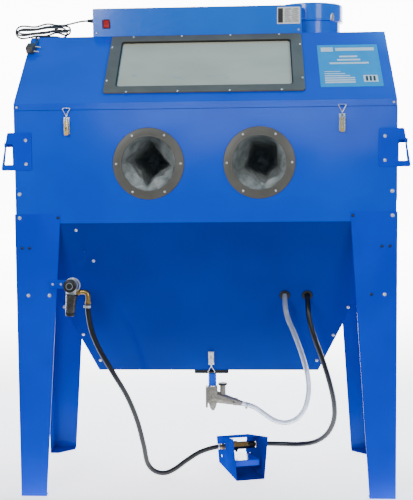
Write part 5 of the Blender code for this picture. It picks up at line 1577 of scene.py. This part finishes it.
@dataclass
class Studio:
    """Camera, lights and floor."""

    eye: Point = (0.1376, -3.3703, 1.0847)
    yaw: float = -0.0618
    pitch: float = 0.085
    roll: float = -0.0109
    lens: float = 75.857
    shift: tuple[float, float] = (0.04808, 0.01008)
    sky: float = 0.12
    glow_top: float = 9.0
    glow_high: float = 0.2
    glow_fades: Pair = (4.0, 6.0)
    floor_span: Pair = (-3.0, 6.0)
    glow: tuple[Pair, ...] = ((0.28, 0.01), (0.303, 0.22), (0.36, 0.32), (0.50, 0.40), (0.80, 1.0))
    floor_tones: tuple[Pair, ...] = ((0.24, 0.25), (0.297, 0.90), (0.5, 0.90))

    def camera(self) -> None:
        """Aims the camera: forward by yaw and pitch, right level, then rolled."""
        cy, sy, cp, sp = math.cos(self.yaw), math.sin(self.yaw), math.cos(self.pitch), math.sin(self.pitch)
        ahead = np.array((sy * cp, cy * cp, -sp))
        right = np.cross(ahead, (0, 0, 1))
        right /= np.linalg.norm(right)
        up = np.cross(right, ahead)
        c, s = math.cos(self.roll), math.sin(self.roll)
        side, top = c * right + s * up, -s * right + c * up
        data = bpy.data.cameras.new("camera")
        data.sensor_width = 36
        data.lens = self.lens
        data.shift_x, data.shift_y = self.shift
        data.clip_start = 0.1
        obj = bpy.data.objects.new("camera", data)
        bpy.context.scene.collection.objects.link(obj)
        matrix = np.eye(4)
        matrix[:3, 0], matrix[:3, 1], matrix[:3, 2] = side, top, -ahead
        matrix[:3, 3] = np.array(self.eye) + np.array((0, FRONT, 0))
        obj.matrix_world = [list(row) for row in matrix.T]
        bpy.context.scene.camera = obj

    def light(
        self, name: str, where: Point, aim: Point, size: Pair, watts: float, tone: str = "#FFFFFF"
    ) -> None:
        """Adds one soft rectangular light that faces its aim."""
        data = bpy.data.lights.new(name, "AREA")
        data.shape = "RECTANGLE"
        data.size, data.size_y = size
        data.energy = watts
        data.color = linear(tone)[:3]
        obj = bpy.data.objects.new(name, data)
        bpy.context.scene.collection.objects.link(obj)
        ahead = np.array(aim, float) - np.array(where, float)
        ahead /= np.linalg.norm(ahead)
        right = np.cross(ahead, (0, 0, 1))
        right /= np.linalg.norm(right)
        matrix = np.eye(4)
        matrix[:3, 0], matrix[:3, 1], matrix[:3, 2] = right, np.cross(right, ahead), -ahead
        matrix[:3, 3] = where
        obj.matrix_world = [list(row) for row in matrix.T]

    def build(self) -> None:
        """Sets the camera, the lights, the sky and the floor, which curves up behind."""
        self.camera()
        self.light("key", (-1.8, -4.4, 2.7), (0.0, 0.0, 0.9), (1.6, 1.2), 128)
        self.light("fill", (2.6, -3.8, 1.7), (0.1, 0.0, 0.8), (1.4, 1.8), 58)
        self.light("window", (0.15, -5.2, 1.50), (0.1, 0.0, 1.2), (2.2, 0.5), 14, "#C4E2FF")
        self.light("ceiling", (0.2, 0.3, 4.2), (0.2, 0.31, 0.0), (5.0, 3.4), 48, "#68C8FF")
        self.light("side_ceiling", (1.9, 1.0, 3.8), (0.4, 0.1, 1.4), (1.8, 1.8), 40, "#60D0FF")
        world = bpy.data.worlds.new("studio")
        bpy.context.scene.world = world
        world.use_nodes = True
        sky = world.node_tree.nodes["Background"]
        sky.inputs["Color"].default_value = linear("#FFFFFF")
        sky.inputs["Strength"].default_value = self.sky
        # A floor that is darker in front of the cabinet and glows behind it, by the distance along y.
        paint = bpy.data.materials.new("pale_matt_floor")
        paint.use_nodes = True
        shader = paint.node_tree.nodes["Principled BSDF"]
        shader.inputs["Roughness"].default_value = 0.9
        shader.inputs["Emission Color"].default_value = linear("#FFFFFF")
        tree = paint.node_tree
        where = add_node(tree, "TexCoord").outputs["Object"]
        axes = add_node(tree, "SeparateXYZ", {}, {"Vector": where})
        depth = axes.outputs["Y"]
        fade = {
            "From Min": self.glow_fades[0], "From Max": self.glow_fades[1],
            "To Min": self.glow_top, "To Max": self.glow_high,
        }
        height = add_node(tree, "MapRange", fade, {"Value": axes.outputs["Z"]}).outputs["Result"]
        span = {"From Min": self.floor_span[0], "From Max": self.floor_span[1]}
        share = add_node(tree, "MapRange", span, {"Value": depth}).outputs["Result"]
        for socket, stops in (("Emission Strength", self.glow), ("Base Color", self.floor_tones)):
            scale = add_node(tree, "ValToRGB", {}, {"Fac": share})
            for k, (place, level) in enumerate(stops):
                entry = scale.color_ramp.elements[0] if k == 0 else scale.color_ramp.elements.new(place)
                entry.position, entry.color = place, (level, level, level, 1)
            scale.color_ramp.elements.remove(scale.color_ramp.elements[-1])
            if socket == "Emission Strength":
                scale = add_node(tree, "Math", {"operation": "MULTIPLY"}, {0: scale.outputs[0], 1: height})
            tree.links.new(scale.outputs[0], shader.inputs[socket])
        points, faces = curved_backdrop()
        mesh = bpy.data.meshes.new("studio_floor")
        mesh.from_pydata(points.tolist(), [], faces)
        mesh.materials.append(paint)
        obj = bpy.data.objects.new("studio_floor", mesh)
        bpy.context.scene.collection.objects.link(obj)


def curved_backdrop(half: float = 16.0, front: float = -14.0, bend: float = 10.5, radius: float = 3.0) -> Surface:
    """A floor just under zero that turns up behind in a quarter circle and goes on as a wall.

    Args:
        half: half its width.
        front: its front edge.
        bend: where the quarter circle starts.
        radius: the quarter circle's radius.

    Returns:
        Points and quads.
    """
    angle = np.linspace(0, math.pi / 2, 24)
    line = np.concatenate([
        [(front, 0.0)],
        np.column_stack([bend + radius * np.sin(angle), radius * (1 - np.cos(angle))]),
        [(bend + radius, 9.0)],
    ])
    points = np.stack([
        np.broadcast_to(np.array((-half, half))[None, :], (len(line), 2)),
        np.broadcast_to(line[:, :1], (len(line), 2)),
        np.broadcast_to(line[:, 1:] - 0.0004, (len(line), 2)),
    ], axis=-1)
    return points.reshape(-1, 3), grid(len(line), 2, loop_columns=False)


def main() -> None:
    logging.basicConfig(level=logging.INFO, format="%(name)s: %(message)s")
    hopper = Bolts()
    SheetMetal().build()
    hopper.build()
    Catches().build()
    Gloves().build()
    for side, x in (("left", -0.438), ("right", 0.438)):
        Toggle(
            on_front(x, 1.226), f"toggle_base_{side}", f"toggle_lever_{side}", f"toggle_bail_{side}", YELLOW_ZINC
        ).build()
    below = Place(
        (0.0115, (0.901 - 0.415) * 0.220 / 0.519, 0.415), (-1, 0, 0), (0, 0.3903, -0.9207), (0, -0.9207, -0.3903)
    )
    Toggle(below, "outlet_latch_base", "outlet_latch_lever", "outlet_latch_bail", ZINC).build()
    Window().build()
    LampHousing().build()
    DustDrum().build()
    MainsLead().build()
    Regulator().build()
    HoseRun().build()
    Outlet().build()
    Pedal().build()
    softened("blast_gun", CAST_ALUMINIUM, 0.6)
    Studio().build()


if __name__ == "__main__":
    main()
